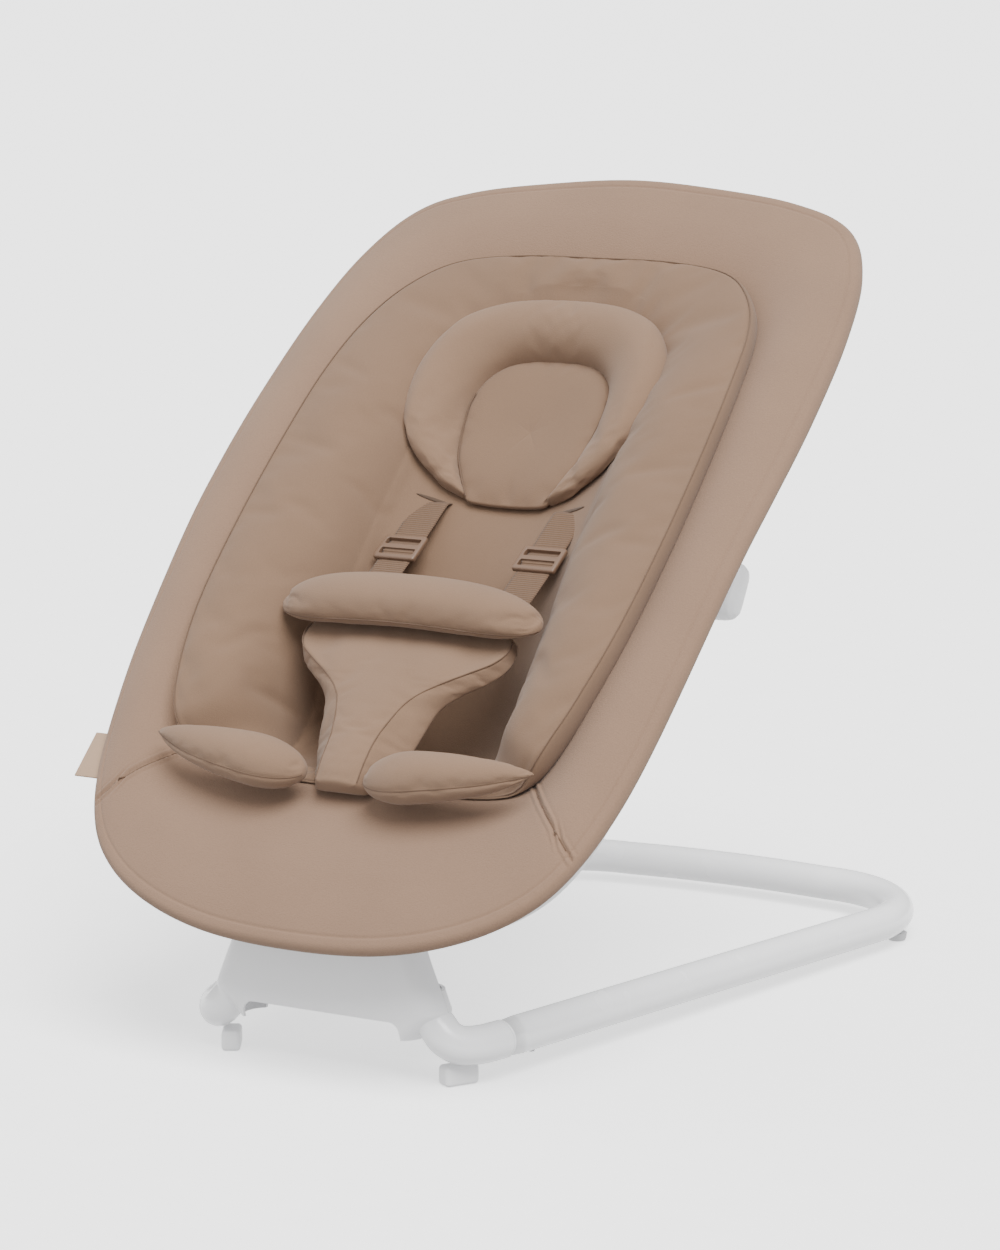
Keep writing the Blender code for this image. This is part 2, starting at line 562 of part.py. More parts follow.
def make_cover(seat):
    """The outer fabric: it lies on the flare, turns round the rim and ends in a hem underneath."""
    above = flare_rings((0.02, *FLARE_RINGS[:-1]), lift=GAP + COVER_THICK)
    edge = flare_rings((1.0,), lift=GAP + 0.5 * COVER_THICK)
    under = -SHELL_WALL - 2 * GAP
    lower_edge = flare_rings((1.0,), lift=under - 0.5 * COVER_THICK)
    hem_out = flare_rings((1.0,), inset=0.0035, lift=under - COVER_THICK)
    hem_in = flare_rings((1.0,), inset=0.014, lift=under - COVER_THICK)
    hem_in_top = hem_in + (0, 0, COVER_THICK)
    fold = flare_rings((1.0,), inset=0.0038, lift=under)
    fold_top = flare_rings((1.0,), inset=0.0038, lift=GAP)
    below = flare_rings((0.02, *FLARE_RINGS[:-1]), lift=GAP)[::-1]
    section = np.concatenate([above, edge, lower_edge, hem_out, hem_in, hem_in_top, fold, fold_top, below])
    loft("seat_cover", section.transpose(1, 0, 2), seat, "beige_fabric", ring=True)


def make_inlay(seat):
    """The padded nest that lines the bucket, with raised bolsters."""
    layer("inlay_pad", nest_rings(), bowl_rings(lift=0.0012), seat, "taupe_fabric")


def pad(name, middle, half_sizes, turn_z, parent, rows=7, cols=16, square=2.6):
    """A pillow with rounded sides: a superellipsoid."""
    lat = np.linspace(-math.pi / 2, math.pi / 2, rows + 2)[1:-1]
    lon = np.linspace(0, 2 * math.pi, cols, endpoint=False)

    def power(values, exponent):
        return np.sign(values) * np.abs(values) ** exponent

    e = 2 / square
    rings = []
    for a in lat:
        r = power(np.cos(a), 0.8)
        x, y = half_sizes[0] * r * power(np.cos(lon), e), half_sizes[1] * r * power(np.sin(lon), e)
        rings.append(np.column_stack([x, y, np.full(cols, half_sizes[2] * math.sin(a))]))
    loops = np.array(rings)
    c, s = math.cos(turn_z), math.sin(turn_z)
    loops = loops @ np.array([[c, s, 0], [-s, c, 0], [0, 0, 1]]) + middle
    return loft(name, loops, parent, "taupe_fabric")


def make_pillow(seat):
    """The head pillow: a horseshoe roll and the thin panel that it surrounds."""
    slide = empty("pillow_slide", (0, 0.52, 0), seat)
    line = smooth_path(((.044, .441), (.071, .466), (.083, .508), (.072, .548), (.040, .571), (0, .577)), 9)
    line = np.vstack([line, line[-2::-1] * (-1, 1)])
    count = len(line)
    fullness = np.sin(np.linspace(0.16, math.pi - 0.16, count)) ** 0.35
    tangent = np.gradient(line, axis=0)
    tangent /= np.linalg.norm(tangent, axis=1)[:, None]
    side = np.stack([tangent[:, 1], -tangent[:, 0]], axis=1)
    turn = np.linspace(0, 2 * math.pi, 12, endpoint=False)
    floor = height_curve(SEAT_DEPTH)
    loops = []
    for point, way, full in zip(line, side, fullness):
        wide, high = 0.022 * full, 0.021 * full
        base = floor(point[1]) + 0.0045
        flat = point + wide * np.cos(turn)[:, None] * way
        loops.append(np.column_stack([flat, base + high + high * np.sin(turn)]))
    loft("head_pillow_roll", np.array(loops) - (0, 0.52, 0), slide, "taupe_fabric")
    middle = (0, 0.490 - 0.52, -0.0085)
    pad("head_pillow_panel", middle, (0.044, 0.058, 0.0065), 0.0, slide, rows=5, square=2.2)


def strap_point(fraction):
    """A point of the strap's middle line, y and z in the seat frame."""
    return np.array(STRAP_TOP) + (np.array(STRAP_END) - STRAP_TOP) * fraction


def make_straps(seat):
    """Shoulder straps, the adjusters that slide on them and the clips behind the belly pad."""
    run = np.array(STRAP_END) - STRAP_TOP
    lean = math.atan2(run[1], -run[0])
    along = run / np.linalg.norm(run)
    normal = np.array((-along[1], along[0])) * -1
    for side, name in ((-1, "left"), (1, "right")):
        loops = []
        for fraction in (0.0, 0.25, 0.5, 0.75, 1.0):
            y, z = strap_point(fraction)
            half = STRAP_WIDTH / 2
            corners = ((-half, -0.0009), (half, -0.0009), (half, 0.0009), (-half, 0.0009))
            loops.append([(side * STRAP_X + x, y + d * normal[0], z + d * normal[1]) for x, d in corners])
        loft(f"shoulder_strap_{name}", loops, seat, "taupe_webbing")
        y, z = strap_point(ADJUSTER_AT) + normal * 0.0040
        axis = empty(f"adjuster_axis_{name}", (side * STRAP_X, y, z), seat, -lean)
        frame = block(f"strap_adjuster_{name}", (0.036, 0.026, 0.0050), axis, "taupe_plastic", 0.0018)
        for row in (-1, 1):
            window = block(f"adjuster_window_{name}_{row}", (0.0270, 0.0065, 0.02), axis, "dark_steel",
                           0.001, 1)
            window.location = (0, row * 0.0056, 0)
            cut(frame, window)
        y, z = strap_point(1.0) + along * 0.0115
        clip_axis = empty(f"clip_place_{name}", (side * STRAP_X, y, z), seat, -lean)
        block(f"strap_clip_{name}", (0.028, 0.020, 0.0046), clip_axis, "taupe_plastic", 0.0015, 1)


def make_harness(seat):
    """The belly pad and the crotch pad, sewn together and hinged at the crotch slot."""
    hinge = empty("harness_hinge", (0, *HARNESS_HINGE), seat)
    offset = np.array((0, *HARNESS_HINGE))
    stations = np.array((-1, -.975, -.90, -.75, -.5, -.25, 0, .25, .5, .75, .90, .975, 1))
    turn = np.linspace(0, 2 * math.pi, 14, endpoint=False)
    loops = []
    for t in stations:
        full = max(1 - abs(t) ** 6, 0.0) ** 0.5 * 0.85 + 0.15
        y = 0.2905 + 0.0235 * full * np.cos(turn)
        z = 0.0330 - 0.014 * t * t + 0.0170 * full * np.sin(turn)
        loops.append(np.column_stack([np.full(14, 0.109 * t), y, z]))
    loft("belly_pad", np.array(loops) - offset, hinge, "taupe_fabric")
    loops = []
    for y, z, front, back, deep in CROTCH_SPINE:
        section = ((front, 0.5), (front + 0.4 * (back - front), 0.1), (back, -0.35), (back - 0.006, -0.5))
        right = [(x, y, z + deep * h) for x, h in section]
        loops.append(right + [(-x, y, h) for x, y, h in reversed(right)])
    loft("crotch_pad", np.array(loops) - offset, hinge, "taupe_fabric")


def main():
    for obj in list(bpy.data.objects):
        bpy.data.objects.remove(obj, do_unlink=True)
    for name, colour, roughness, metallic in (
        ("white_paint", (0.86, 0.86, 0.87), 0.30, 0.0),
        ("white_plastic", (0.84, 0.84, 0.85), 0.42, 0.0),
        ("dark_steel", (0.16, 0.16, 0.17), 0.35, 0.9),
        ("grey_rubber", (0.55, 0.55, 0.56), 0.70, 0.0),
        ("beige_fabric", (0.42, 0.31, 0.23), 0.90, 0.0),
        ("taupe_fabric", (0.33, 0.23, 0.17), 0.88, 0.0),
        ("taupe_webbing", (0.30, 0.21, 0.15), 0.80, 0.0),
        ("taupe_plastic", (0.31, 0.22, 0.17), 0.40, 0.0),
    ):
        MATERIALS[name] = material(name, colour, roughness, metallic)

    root = empty("datum", (0, -FEET_TO_MIDDLE, 0))
    make_floor_tube(root)
    for side, name in ((-1, "left"), (1, "right")):
        make_elbow(side, name, root)
        make_snap_button(side, name, root)
        make_front_foot(side, name, root)
        make_rear_foot(side, name, root)
    make_neck(root)

    arm = empty("bounce_axis", (0, *CROSS_TUBE), root)
    make_arm(arm)
    slope = np.array((math.cos(SEAT_TILT), math.sin(SEAT_TILT)))
    out = np.array((-slope[1], slope[0]))
    hub_place = np.array(SEAT_LIP) + HUB[0] * slope + HUB[1] * out
    hub = empty("recline_axis", (0, *(hub_place - CROSS_TUBE)), arm)
    make_hub(hub)
    make_handle(hub)

    seat = empty("seat_frame", (0, *(np.array(SEAT_LIP) - hub_place)), hub, SEAT_TILT)
    make_brackets(seat)
    make_shell(seat)
    make_cover(seat)
    make_inlay(seat)
    for side, name in ((-1, "left"), (1, "right")):
        pad(f"leg_cushion_{name}", (side * 0.0905, 0.1425, 0.0290), (0.064, 0.0215, 0.0205),
            side * -0.12, seat)
    make_pillow(seat)
    make_straps(seat)
    make_harness(seat)


MATERIALS = {}
main()
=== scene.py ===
"""Looks of the baby bouncer seat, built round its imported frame. Metres, +Z up, the seat faces -Y.

The seat is drawn in its own tilted frame: x across, s up the slope of the rim from the front lip, h out of
that slope towards the child. to_row() takes those points to the frame's own axes.
"""

import math

import bmesh
import bpy
import numpy as np
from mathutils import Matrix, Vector


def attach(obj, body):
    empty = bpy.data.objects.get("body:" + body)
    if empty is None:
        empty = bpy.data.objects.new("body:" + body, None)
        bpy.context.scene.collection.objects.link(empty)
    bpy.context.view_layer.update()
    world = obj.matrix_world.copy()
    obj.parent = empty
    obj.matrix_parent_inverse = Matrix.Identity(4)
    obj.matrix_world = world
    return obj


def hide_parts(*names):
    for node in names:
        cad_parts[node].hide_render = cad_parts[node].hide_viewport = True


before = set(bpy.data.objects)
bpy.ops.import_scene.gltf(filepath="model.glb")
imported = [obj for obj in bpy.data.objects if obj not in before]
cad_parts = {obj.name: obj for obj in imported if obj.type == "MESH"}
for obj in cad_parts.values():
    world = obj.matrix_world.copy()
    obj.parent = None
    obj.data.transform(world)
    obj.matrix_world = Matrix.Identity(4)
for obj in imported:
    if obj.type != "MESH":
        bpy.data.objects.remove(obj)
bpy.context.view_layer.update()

# ---------------------------------------------------------------- measurements
GAP = 0.0003
BASE_SHIFT = np.array((0.0, -0.27685, 0.0))  # the base is drawn from the line of the front feet
SEAT_LIP = np.array((0.0, -0.36985, 0.103))
SEAT_TILT = math.radians(43.7)

TUBE_R = 0.014
SEAM = (0.1170, 0.0220, 0.0298)
RAIL_END = (0.1918, 0.4970, 0.0215)
CORNER_MIDDLE = (0.0925, 0.5095)
CORNER_R = 0.100
REAR_MIDDLE_Y = 0.616
REAR_Z = 0.021
ELBOW_TOP_WAY = (0.668, 0.0, -0.744)
ELBOW_PATH = ((0.08695, -0.0145, 0.04425), (0.0945, -0.0140, 0.0360), (0.1030, -0.0080, 0.0308),
              (0.1115, 0.0050, 0.0297), SEAM)

NECK_LEVELS = (0.034, 0.041, 0.054, 0.070, 0.088, 0.104)
NECK_HALF_WIDTHS = (0.0745, 0.0822, 0.0968, 0.0905, 0.0830, 0.0770)
NECK_Y = -0.0145
NECK_HALF_DEPTH = 0.0175
NECK_WALL = 0.0025
NECK_ARCH = (0.132, 0.0468)
ARM_PATH = ((-0.0135, 0.0812), (-0.0085, 0.0985), (0.024, 0.1135), (0.100, 0.1190), (0.170, 0.1320),
            (0.238, 0.1750), (0.281, 0.2450), (0.2962, 0.3060))
ARM_HALF_WIDTHS = (0.060, 0.060, 0.064, 0.070, 0.070, 0.064, 0.054, 0.048)
ARM_HALF_DEPTHS = (0.0075, 0.0080, 0.0090, 0.0100, 0.0100, 0.0100, 0.0100, 0.0100)
ARM_WALL = 0.0025

SHELL_WALL = 0.0030
COVER_THICK = 0.0030
RIM = ((0, .013), (.07, .017), (.125, .031), (.167, .054), (.195, .086), (.2135, .135), (.2255, .21),
       (.2325, .31), (.2375, .43), (.2375, .51), (.2325, .59), (.220, .656), (.194, .702), (.145, .721),
       (.075, .731), (0, .736))
INLAY = ((0, .135), (.08, .137), (.135, .145), (.158, .170), (.168, .215), (.176, .28), (.179, .36),
         (.178, .44), (.174, .51), (.165, .57), (.148, .61), (.118, .638), (.065, .649), (0, .650))
NEST_EDGE = ((0, .145), (.08, .146), (.122, .150), (.144, .160), (.157, .181), (.168, .222), (.176, .28),
             (.179, .36), (.178, .44), (.174, .51), (.165, .57), (.148, .61), (.118, .638), (.065, .649),
             (0, .650))
CREASE = ((0, .160), (.05, .162), (.080, .170), (.0915, .195), (.0925, .25), (.0920, .30), (.0910, .40),
          (.0900, .50), (.0850, .56), (.0700, .600), (.040, .618), (0, .622))
RIM_HEIGHT = ((0, -.018), (.02, -.010), (.05, -.004), (.10, .001), (.17, .005), (.25, .011), (.35, .015),
              (.42, .012), (.50, .005), (.60, -.004), (.66, -.009), (.70, -.010), (.72, -.004), (.74, .003))
SHELL_EDGE = ((.13, -.004), (.19, .008), (.27, .014), (.43, .012), (.52, .007), (.60, -.004), (.655, -.010))
INLAY_EDGE = ((.13, -.002), (.146, .000), (.153, .004), (.160, .014), (.168, .023), (.180, .028), (.20, .031),
              (.27, .034), (.43, .030), (.52, .025), (.60, .013), (.655, .004))
SHELL_DEPTH = ((.13, -.004), (.15, -.035), (.165, -.070), (.19, -.112), (.22, -.137), (.26, -.140),
               (.30, -.126), (.35, -.100), (.40, -.076), (.45, -.062), (.50, -.056), (.55, -.047),
               (.60, -.033), (.655, -.010))
WELL = ((.13, .006), (.15, -.010), (.165, -.026), (.19, -.055), (.22, -.082), (.26, -.084), (.30, -.066),
        (.35, -.046), (.40, -.036), (.45, -.030), (.50, -.025), (.55, -.016), (.60, -.004), (.655, .005))
CREASE_HEIGHT = ((.13, .006), (.165, -.020), (.19, -.036), (.22, -.042), (.26, -.030), (.30, -.018),
                 (.35, -.008), (.40, -.005), (.47, -.004), (.55, -.002), (.60, .001), (.655, .005))
FLARE_CROWN = 0.007
BOLSTER_STEPS = (0, .012, .03, .055, .085, .12, .16, .21, .27, .34, .42, .51, .60, .69, .78, .86, .92, .96,
                 .985, 1.0)
SIDE_SEAM = ((.1445, .161), (.160, .143), (.182, .120), (.208, .094))

STRAP_X = 0.060
STRAP_WIDTH = 0.028
STRAP_LINE = ((.4300, -.0440), (.4270, -.0330), (.4215, -.0235), (.4130, -.0200), (.366, -.0118),
              (.320, -.0015), (.298, .0060), (.288, .0130))
ADJUSTER = (.366, -.0100)
SLOT_AT = 0.4226
SLOT_HALF = (0.0130, 0.0014)
PILLOW_OUTER = ((.036, .428), (.060, .436), (.085, .455), (.101, .482), (.107, .515), (.101, .550),
                (.083, .578), (.055, .594), (.025, .600), (0, .601))
PILLOW_INNER = ((.034, .428), (.044, .445), (.052, .463), (.057, .490), (.058, .510), (.053, .530),
                (.040, .545), (.020, .552), (0, .553))
# Stations of the crotch pad: s, h, half width of the front face, half width of the back, depth.
CROTCH = ((.2785, .0085, .083, .084, .010), (.2640, .0100, .086, .088, .012),
          (.2500, .0122, .080, .086, .013), (.2370, .0138, .064, .076, .014),
          (.2250, .0142, .047, .062, .015), (.2130, .0142, .034, .051, .017),
          (.2000, .0138, .0260, .046, .019), (.1740, .0130, .0185, .040, .021),
          (.1520, .0130, .0170, .031, .019), (.1330, .0125, .0165, .022, .013))
LEG_SPINE = ((.0250, .1375, .0225), (.060, .1390, .0285), (.0905, .1415, .0310), (.125, .1460, .0312),
             (.1575, .1540, .0285))

PILLOW_CENTRE = (0.0, 0.488)
FOOT_FRONT_SIZE = (0.0140, 0.027, 0.0150)
FOOT_FRONT_AT = (0.0965, -0.0010, 0.0075)
FOOT_FRONT_TURN = 30
FOOT_REAR_AT = (0.1905, 0.5367)
FOOT_REAR_PROFILE = ((.0020, 0), (.0055, 0), (.0064, .0003), (.0071, .0009), (.0075, .0016), (.0085, .0067))
HANDLE_AT = (0, 0.450, -0.1425)
HANDLE_LEAN = 15
HANDLE_KNOTS = ((0, .80), (.104, .80), (.118, .86), (.128, 1.0), (.141, 1.0), (.1465, .88), (.150, .62),
                (.151, .35))  # distance from the middle, share of the full thickness
NEST_MIDDLE = (0.0, 0.40)
RIM_ROUND = 0.0045
SKIRT_DEPTH, SKIRT_AT, SKIRT_REACH = 0.0120, 0.105, 0.045
HEM_INSETS = (.022, .0195, .017, .0150, .0135, .0122, .0112, .0104, .0096, .0088, .0080, .0070, .0060, .0045)
TAG_AT = 0.144
TAG_OUT = 0.0055
TAG_SIZE = (0.024, 0.040, 0.0016)

SUNS = (("key", (-0.50, 0.42, -1.0), 4.9, 40), ("fill", (0.7, 0.6, -1.0), 0.9, 90))
CAMERA_AT = (1.4952, -2.63325, 0.7918)
CAMERA_PITCH, CAMERA_HEADING = 90 - 9.578, 30.093
CAMERA_LENS = 115.2


# ---------------------------------------------------------------- curves
def spline(points, count, mirror=False):
    """A Catmull-Rom curve through the points, resampled at equal arc lengths."""
    p = np.array(points, float)
    if mirror:  # the curve crosses x = 0 squarely at both ends
        flip = np.array([-1.0] + [1.0] * (p.shape[1] - 1))
        p = np.vstack([p[1] * flip, p, p[-2] * flip])
    else:
        p = np.vstack([2 * p[0] - p[1], p, 2 * p[-1] - p[-2]])
    t = np.linspace(0, 1, 24, endpoint=False)[:, None]
    runs = []
    for a, b, c, d in zip(p[:-3], p[1:-2], p[2:-1], p[3:]):
        runs.append(0.5 * (2 * b + (c - a) * t + (2 * a - 5 * b + 4 * c - d) * t**2
                           + (3 * b - a - 3 * c + d) * t**3))
    dense = np.vstack([*runs, p[-2]])
    along = np.concatenate([[0], np.cumsum(np.linalg.norm(np.diff(dense, axis=0), axis=1))])
    at = np.linspace(0, along[-1], count)
    return np.stack([np.interp(at, along, column) for column in dense.T], axis=1)


def curve(points):
    """A smooth function through (distance, height) pairs."""
    dense = spline(points, 400)
    return lambda s: np.interp(s, dense[:, 0], dense[:, 1])


def loop_at(points, turn):
    """Points of a closed outline from its right half: turn is 0 at the front middle, then to the right."""
    half = spline(points, 900, mirror=True)
    at = np.where(turn < 0.5, 2 * turn, 2 - 2 * turn) * (len(half) - 1)
    x, s = (np.interp(at, np.arange(len(half)), half[:, k]) for k in (0, 1))
    return np.stack([np.where(turn < 0.5, x, -x), s], axis=1)


def half_width(points):
    """The half width of an outline as a function of s."""
    half = spline(points, 400, mirror=True)
    order = np.argsort(half[:, 1])
    return lambda s: np.interp(s, half[order, 1], half[order, 0])


def to_row(points):
    """Takes points of the tilted seat frame to the row frame."""
    p = np.asarray(points, float)
    c, k = math.cos(SEAT_TILT), math.sin(SEAT_TILT)
    return np.stack([p[..., 0], p[..., 1] * c - p[..., 2] * k, p[..., 1] * k + p[..., 2] * c], -1) + SEAT_LIP


def bump_at(distance, width):
    """1 on a line and falling off smoothly away from it."""
    return np.exp(-(distance / width) ** 2)


well, crease_height = curve(WELL), curve(CREASE_HEIGHT)
shell_edge, inlay_edge, rim_height, shell_depth = (curve(c) for c in (SHELL_EDGE, INLAY_EDGE, RIM_HEIGHT,
                                                                      SHELL_DEPTH))
crease_width, inlay_width = half_width(CREASE), half_width(INLAY)


def nest_height(x, s):
    """The padding's surface inside its crease: a trough whose sides climb to the crease."""
    share = np.clip(np.abs(x) / np.maximum(crease_width(s), 0.02), 0, 1)
    return well(s) + (crease_height(s) - well(s)) * share**2.2


def bowl_height(x, s):
    """The shell's trough, flat across its middle."""
    share = np.clip(np.abs(x) / np.maximum(inlay_width(s), 1e-4), 0, 1)
    climb = np.clip((share - 0.42) / 0.58, 0, 1) ** 1.2
    return shell_depth(s) + (shell_edge(s) - shell_depth(s)) * climb


def flare(turn, across, inset=0.0, lift=0.0):
    """A ring of the flared rim, across running from the inlay's edge (0) to the rim (1)."""
    inlay, rim = loop_at(INLAY, turn), loop_at(RIM, turn)
    t = across - inset / np.linalg.norm(rim - inlay, axis=1)
    flat = inlay + (rim - inlay) * t[:, None]
    start, finish = shell_edge(inlay[:, 1]), rim_height(rim[:, 1])
    rise = start + (finish - start) * t**2 + FLARE_CROWN * np.sin(math.pi * t)
    return np.column_stack([flat, rise + lift])


# ---------------------------------------------------------------- meshes
def make_object(name, verts, faces, sharp=None):
    """A smooth shaded mesh object whose faces look outward."""
    verts = np.asarray(verts, float)
    mesh = bpy.data.meshes.new(name)
    mesh.from_pydata(verts.tolist(), [], faces)
    mesh.validate()
    obj = bpy.data.objects.new(name, mesh)
    bpy.context.scene.collection.objects.link(obj)
    face_outward(mesh)
    mesh.shade_smooth()
    if sharp:
        mesh.set_sharp_from_angle(angle=math.radians(sharp))
    return obj


def face_outward(mesh):
    """Turns every face round if the closed mesh encloses a negative volume."""
    mesh.calc_loop_triangles()
    corners = np.empty(len(mesh.loop_triangles) * 3, np.int32)
    mesh.loop_triangles.foreach_get("vertices", corners)
    p = coordinates(mesh)[corners.reshape(-1, 3)]
    p -= p.reshape(-1, 3).mean(axis=0)
    if np.linalg.det(p).sum() < 0:
        mesh.flip_normals()


def coordinates(mesh):
    """The mesh's points as an array."""
    co = np.empty(len(mesh.vertices) * 3)
    mesh.vertices.foreach_get("co", co)
    return co.reshape(-1, 3)


def surface(name, points, wrap_rows=False, wrap_cols=True, poles=True, sharp=None, uv=None):
    """A mesh over a grid of points. Rows or columns may close on themselves; poles close open end rows."""
    rows, cols = points.shape[:2]
    index = np.arange(rows * cols).reshape(rows, cols)
    if wrap_rows:
        index = np.vstack([index, index[:1]])
    if wrap_cols:
        index = np.hstack([index, index[:, :1]])
    quads = np.stack([index[:-1, :-1], index[:-1, 1:], index[1:, 1:], index[1:, :-1]], -1).reshape(-1, 4)
    verts, faces = points.reshape(-1, 3), quads.tolist()
    if poles and not wrap_rows:
        verts = np.vstack([verts, points[0].mean(axis=0), points[-1].mean(axis=0)])
        for row, pole, turn in ((index[0], rows * cols, 1), (index[-1], rows * cols + 1, -1)):
            faces += [[pole, int(a), int(b)][::-turn] for a, b in zip(row[:-1], row[1:])]
    obj = make_object(name, verts, faces, sharp)
    if uv is not None:
        values = np.vstack([uv.reshape(-1, 2), uv[0].mean(axis=0), uv[-1].mean(axis=0)])
        layer = obj.data.uv_layers.new(name="UVMap")
        corners = np.empty(len(obj.data.loops), np.int32)
        obj.data.loops.foreach_get("vertex_index", corners)
        layer.data.foreach_set("uv", values[corners].ravel())
    return obj


def frames_along(path, first=None, last=None):
    """Unit tangent, side and up vectors along a path, the side kept level."""
    tangent = np.gradient(path, axis=0)
    if first is not None:
        tangent[0] = first
    if last is not None:
        tangent[-1] = last
    tangent /= np.linalg.norm(tangent, axis=1)[:, None]
    side = np.cross(tangent, (0, 0, 1.0))
    side /= np.linalg.norm(side, axis=1)[:, None]
    return tangent, side, np.cross(side, tangent)


def tube(name, path, radius, sides=56, first=None, last=None, edge=0.0012):
    """A round bar along a path, its ends rounded over by the edge's radius."""
    tangent, side, up = frames_along(path, first, last)
    turn = np.linspace(0, 2 * math.pi, sides, endpoint=False)
    spoke = side[:, None] * np.cos(turn)[None, :, None] + up[:, None] * np.sin(turn)[None, :, None]
    steps = np.linspace(0, math.pi / 2, 5)
    ends = [(edge * (1 - math.sin(a)), radius - edge * (1 - math.cos(a))) for a in steps]
    head = [path[0] + tangent[0] * inward + size * spoke[0] for inward, size in ends[::-1]]
    tail = [path[-1] - tangent[-1] * inward + size * spoke[-1] for inward, size in ends]
    return surface(name, np.concatenate([head[::-1], path[1:-1, None] + radius * spoke[1:-1], tail]))


def rounded_box(name, size, middle, radius, turn=None, segments=6):
    """A box with rounded edges. turn is a 3 x 3 array whose columns are the box's own axes."""
    bm = bmesh.new()
    bmesh.ops.create_cube(bm, size=1.0)
    bmesh.ops.scale(bm, vec=size, verts=bm.verts)
    bmesh.ops.bevel(bm, geom=bm.edges[:], offset=radius, segments=segments, affect="EDGES", profile=0.5)
    mesh = bpy.data.meshes.new(name)
    bm.to_mesh(mesh)
    bm.free()
    axes = np.eye(3) if turn is None else np.asarray(turn, float)
    mesh.vertices.foreach_set("co", (coordinates(mesh) @ axes.T + middle).ravel())
    obj = bpy.data.objects.new(name, mesh)
    bpy.context.scene.collection.objects.link(obj)
    mesh.shade_smooth()
    return obj


def baked(obj):
    """Replaces the object's mesh by what its modifiers make of it."""
    graph = bpy.context.evaluated_depsgraph_get()
    mesh = bpy.data.meshes.new_from_object(obj.evaluated_get(graph))
    obj.modifiers.clear()
    obj.data = mesh
    return obj


def carve(obj, cutters):
    """Takes the cutters out of the object and removes them."""
    for cutter in cutters:
        modifier = obj.modifiers.new("cut", "BOOLEAN")
        modifier.operation, modifier.solver, modifier.object = "DIFFERENCE", "EXACT", cutter
    baked(obj)
    for cutter in cutters:
        bpy.data.objects.remove(cutter)
    return obj


def soften(obj, width=0.0008, angle=35, segments=3):
    """Rounds the object's hard edges."""
    weld = obj.modifiers.new("weld", "WELD")
    weld.merge_threshold = 1e-5
    bevel = obj.modifiers.new("bevel", "BEVEL")
    bevel.width, bevel.segments, bevel.limit_method = width, segments, "ANGLE"
    bevel.angle_limit, bevel.harden_normals = math.radians(angle), True
    return obj


def finer(obj, levels=1):
    """Subdivides the object's surface smoothly."""
    subdivide = obj.modifiers.new("finer", "SUBSURF")
    subdivide.levels = subdivide.render_levels = levels
    baked(obj)
    obj.data.shade_smooth()
    return obj


def puff(obj, held, limit=0.003, pressure=4.0):
    """Lets the closed cloth settle under a light pressure from inside, its seams held, and keeps every
    point's move below a limit."""
    scene, rest = bpy.context.scene, coordinates(obj.data)
    obj.vertex_groups.new(name="seams").add(np.flatnonzero(held).tolist(), 1.0, "REPLACE")
    cloth = obj.modifiers.new("cloth", "CLOTH")
    cloth.settings.quality = 5
    cloth.settings.mass = 0.3
    cloth.settings.tension_stiffness = cloth.settings.compression_stiffness = 12
    cloth.settings.shear_stiffness, cloth.settings.bending_stiffness = 6, 0.3
    cloth.settings.use_pressure = True
    cloth.settings.uniform_pressure_force = pressure
    cloth.settings.shrink_min = cloth.settings.shrink_max = -0.020
    cloth.settings.vertex_group_mass = "seams"
    cloth.settings.effector_weights.gravity = 0
    cloth.collision_settings.use_collision = False
    for number in range(1, 21):
        scene.frame_set(number)
    moved = coordinates(obj.evaluated_get(bpy.context.evaluated_depsgraph_get()).data)
    obj.modifiers.clear()
    scene.frame_set(1)
    step = np.nan_to_num(moved - rest)
    length = np.maximum(np.linalg.norm(step, axis=1), 1e-9)
    step *= (limit * np.tanh(length / limit) / length)[:, None]
    obj.data.vertices.foreach_set("co", (rest + step).ravel())
    obj.data.update()
    return obj


# ---------------------------------------------------------------- materials
class Wire:
    """An output of a node that adds, subtracts and multiplies like a number."""

    def __init__(self, finish, socket):
        """Remembers the finish that the node belongs to and the node's output."""
        self.finish, self.socket = finish, socket

    def math(self, operation, other=0.0):
        """The result of a math node on this output and another value."""
        return self.finish.node("Math", {0: self, 1: other}, operation=operation)

    def __add__(self, other):
        return self.math("ADD", other)

    def __sub__(self, other):
        return self.math("SUBTRACT", other)

    def __mul__(self, other):
        return self.math("MULTIPLY", other)


